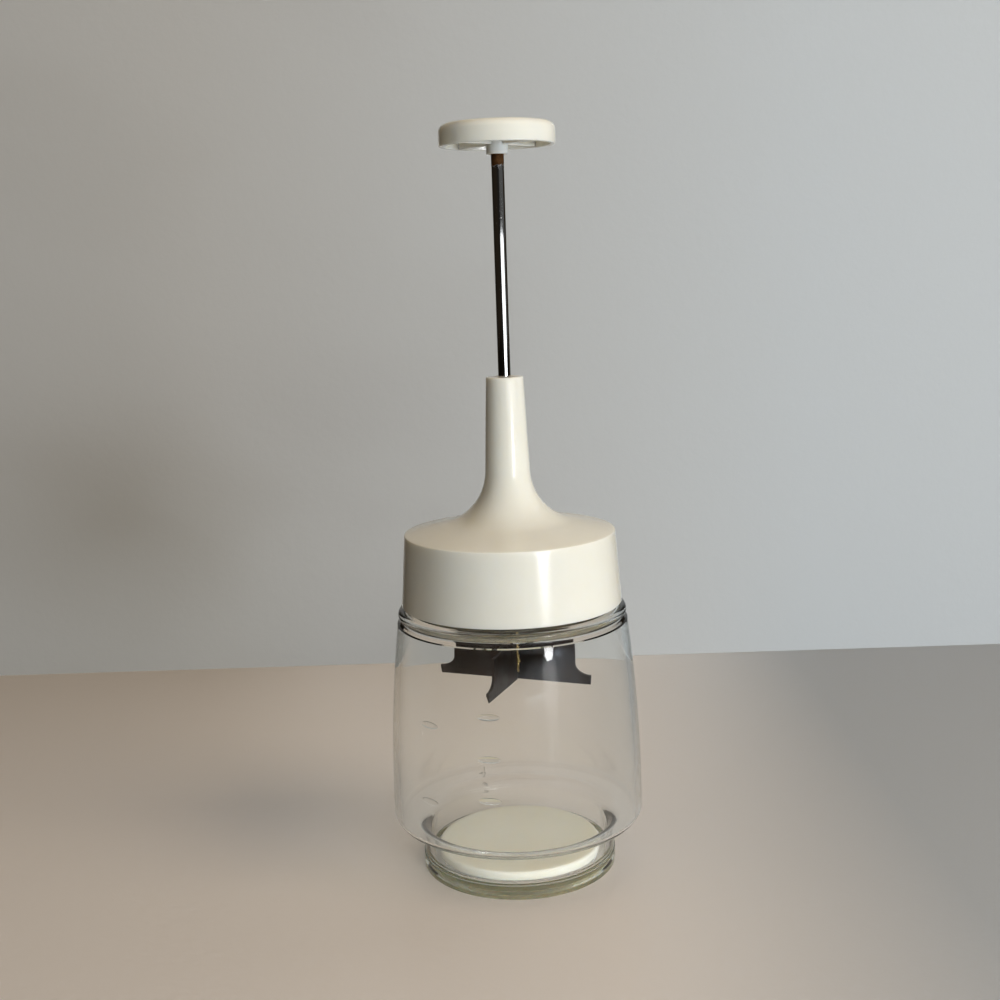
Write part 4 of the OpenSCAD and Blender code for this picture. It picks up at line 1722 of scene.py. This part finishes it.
    def sheet(self, name: str, place: Matrix, size: tuple[float, float], material: bpy.types.Material,
              foot: float = 1.0) -> bpy.types.Object:
        """Make a flat staging sheet.

        Args:
            name: Name of the sheet.
            place: Its place and turn, for a sheet that lies in X and Y.
            size: Width and height in metres.
            material: Its finish.
            foot: Width of its lower edge, as a share of the upper one.

        Returns:
            The sheet.
        """
        deselect()
        bpy.ops.mesh.primitive_grid_add(x_subdivisions=4, y_subdivisions=4, size=1)
        piece = name_piece(name)
        for vertex in piece.data.vertices:
            vertex.co.x *= foot + (1 - foot) * min(1.0, 2 * (vertex.co.y + 0.5))
        piece.data.transform(place @ Matrix.Diagonal((*size, 1, 1)))
        piece.data.materials.append(material)
        return piece

    def around(self, bearing: float, distance: float, height: float) -> Vector:
        """Place in metres at a bearing and a distance from the rod's axis."""
        angle = math.radians(bearing)
        return Vector((distance * math.sin(angle), -distance * math.cos(angle), height))

    def card(self, name: str, bearing: float, distance: float, heights: tuple[float, float], width: float,
             colour: Colour, strength: float, foot: float = 1.0) -> None:
        """Stand a lit card that only reflections and refractions see.

        Args:
            name: Name of the card.
            bearing: Bearing of its middle.
            distance: Its distance from the rod's axis in metres.
            heights: Its lowest and highest edge in metres.
            width: Its width in metres.
            colour: Colour of its light.
            strength: Its strength, where 1 is white.
            foot: Width of its lower edge, as a share of the upper one.
        """
        low, high = heights
        middle = Matrix.Translation(self.around(bearing, distance, (low + high) / 2))
        piece = self.sheet(name, middle @ self.upright(bearing), (width, high - low),
                           self.glow(name, colour, strength), foot)
        piece.visible_camera = False
        piece.visible_diffuse = False
        piece.visible_shadow = False

    def lamp(self, name: str, place: Vector, size: tuple[float, float], power: float,
             colour: Colour) -> None:
        """Place a soft lamp that looks at the lid and isn't seen in reflections.

        Args:
            name: Name of the lamp.
            place: Its place in metres.
            size: Width and height in metres.
            power: Power in watts.
            colour: Colour of its light.
        """
        data = bpy.data.lights.new(name, "AREA")
        data.shape = "RECTANGLE"
        data.size, data.size_y = size
        data.energy = power
        data.color = colour
        lamp = bpy.data.objects.new(name, data)
        bpy.context.scene.collection.objects.link(lamp)
        ray = Vector((0, 0, self.aim_z)) - place
        lamp.matrix_world = Matrix.Translation(place) @ ray.to_track_quat("-Z", "Z").to_matrix().to_4x4()
        lamp.visible_camera = False
        lamp.visible_glossy = False
        lamp.visible_transmission = False

    def room(self) -> None:
        """Fill the room with weak soft light: dark and brown on the left, pale where it is seen."""
        world = bpy.data.worlds.new("room")
        bpy.context.scene.world = world
        world.use_nodes = True
        graph = Graph(world.node_tree)
        world.node_tree.nodes.clear()
        ray = graph.add("LightPath").outputs
        axes = graph.add("SeparateXYZ", {0: graph.add("TexCoord").outputs["Generated"]}).outputs
        left = graph.spread(axes["X"], 0.1, -0.6)
        right = graph.spread(axes["X"], 0.15, 0.5)
        above = graph.spread(axes["Z"], 0.2, 0.8)
        glossy = graph.mix(right, rgb((0.014, 0.013, 0.012)), rgb((0.10, 0.10, 0.095)))
        glossy = graph.mix(left, glossy, rgb((0.02, 0.015, 0.010)))
        glossy = graph.mix(above, glossy, rgb((0.22, 0.19, 0.15)))
        soft = graph.mix(left, rgb((0.14, 0.145, 0.15)), rgb((0.04, 0.025, 0.008)))
        soft = graph.mix(above, soft, rgb((0.30, 0.25, 0.19)))
        seen = rgb((0.42, 0.42, 0.41))
        soft_room, glossy_room, seen_room = (graph.add("Background", {"Color": colour})
                                             for colour in (soft, glossy, seen))
        unseen = graph.mix_shaders(ray["Is Glossy Ray"], soft_room, glossy_room)
        through = graph.math("MAXIMUM", ray["Is Camera Ray"], ray["Is Transmission Ray"])
        final = graph.mix_shaders(through, unseen, seen_room)
        world.node_tree.links.new(final.outputs[0], graph.add("OutputWorld").inputs["Surface"])

    def build(self) -> None:
        """Set the whole studio up."""
        self.camera()
        level = Matrix.Translation((0, 0, -self.table_gap))
        self.sheet("table", level, (2 * self.reach, 2 * self.reach), self.table_finish())
        back = Matrix.Translation((0, self.wall_y, self.reach / 2))
        self.sheet("wall", back @ self.upright(), (2 * self.reach, self.reach), self.wall_finish())
        self.lamp("key_lamp", self.around(42, 1.3, 0.15), size=(0.40, 0.28), power=9.3,
                  colour=(0.90, 1.0, 1.12))
        self.lamp("front_lamp", self.around(4, 1.2, 0.60), size=(0.3, 0.3), power=2.4,
                  colour=(0.88, 1.0, 1.10))
        self.lamp("low_lamp", self.around(22, 0.60, 0.03), size=(0.24, 0.05), power=0.5,
                  colour=(0.93, 1.0, 1.0))
        self.lamp("high_lamp", self.around(62, 1.0, 1.05), size=(0.6, 0.6), power=6.2,
                  colour=(1.0, 0.81, 0.58))
        self.lamp("ceiling_lamp", Vector((-0.1, -0.2, 1.5)), size=(0.9, 0.9), power=1.8,
                  colour=(1.0, 0.81, 0.57))
        self.card("window", bearing=36, distance=1.2, heights=(0.065, 0.25), width=1.3,
                  colour=(0.97, 0.99, 1.0), strength=2.4, foot=0.8)
        self.card("window_core", bearing=33.5, distance=1.18, heights=(0.0, 0.12), width=0.30,
                  colour=(1.0, 1.0, 1.0), strength=18.0, foot=0.35)
        self.room()
        bpy.context.scene.view_settings.view_transform = "Standard"


# ---------------------------------------------------------------- the whole chopper


def main() -> None:
    """Build the chopper from the table up, and then the studio."""
    logging.basicConfig(level=logging.INFO, format="%(name)s: %(message)s")
    paint = Paint()
    jar = Jar()
    jar.build(paint)
    ChoppingBoard().build(paint, jar)
    lid = Lid()
    lid.build(paint, jar)
    SpringPack(lid).build(paint)
    plunger = Plunger()
    plunger.build(paint)
    Blades(plunger).build(paint)
    Studio().build()


if __name__ == "__main__":
    main()
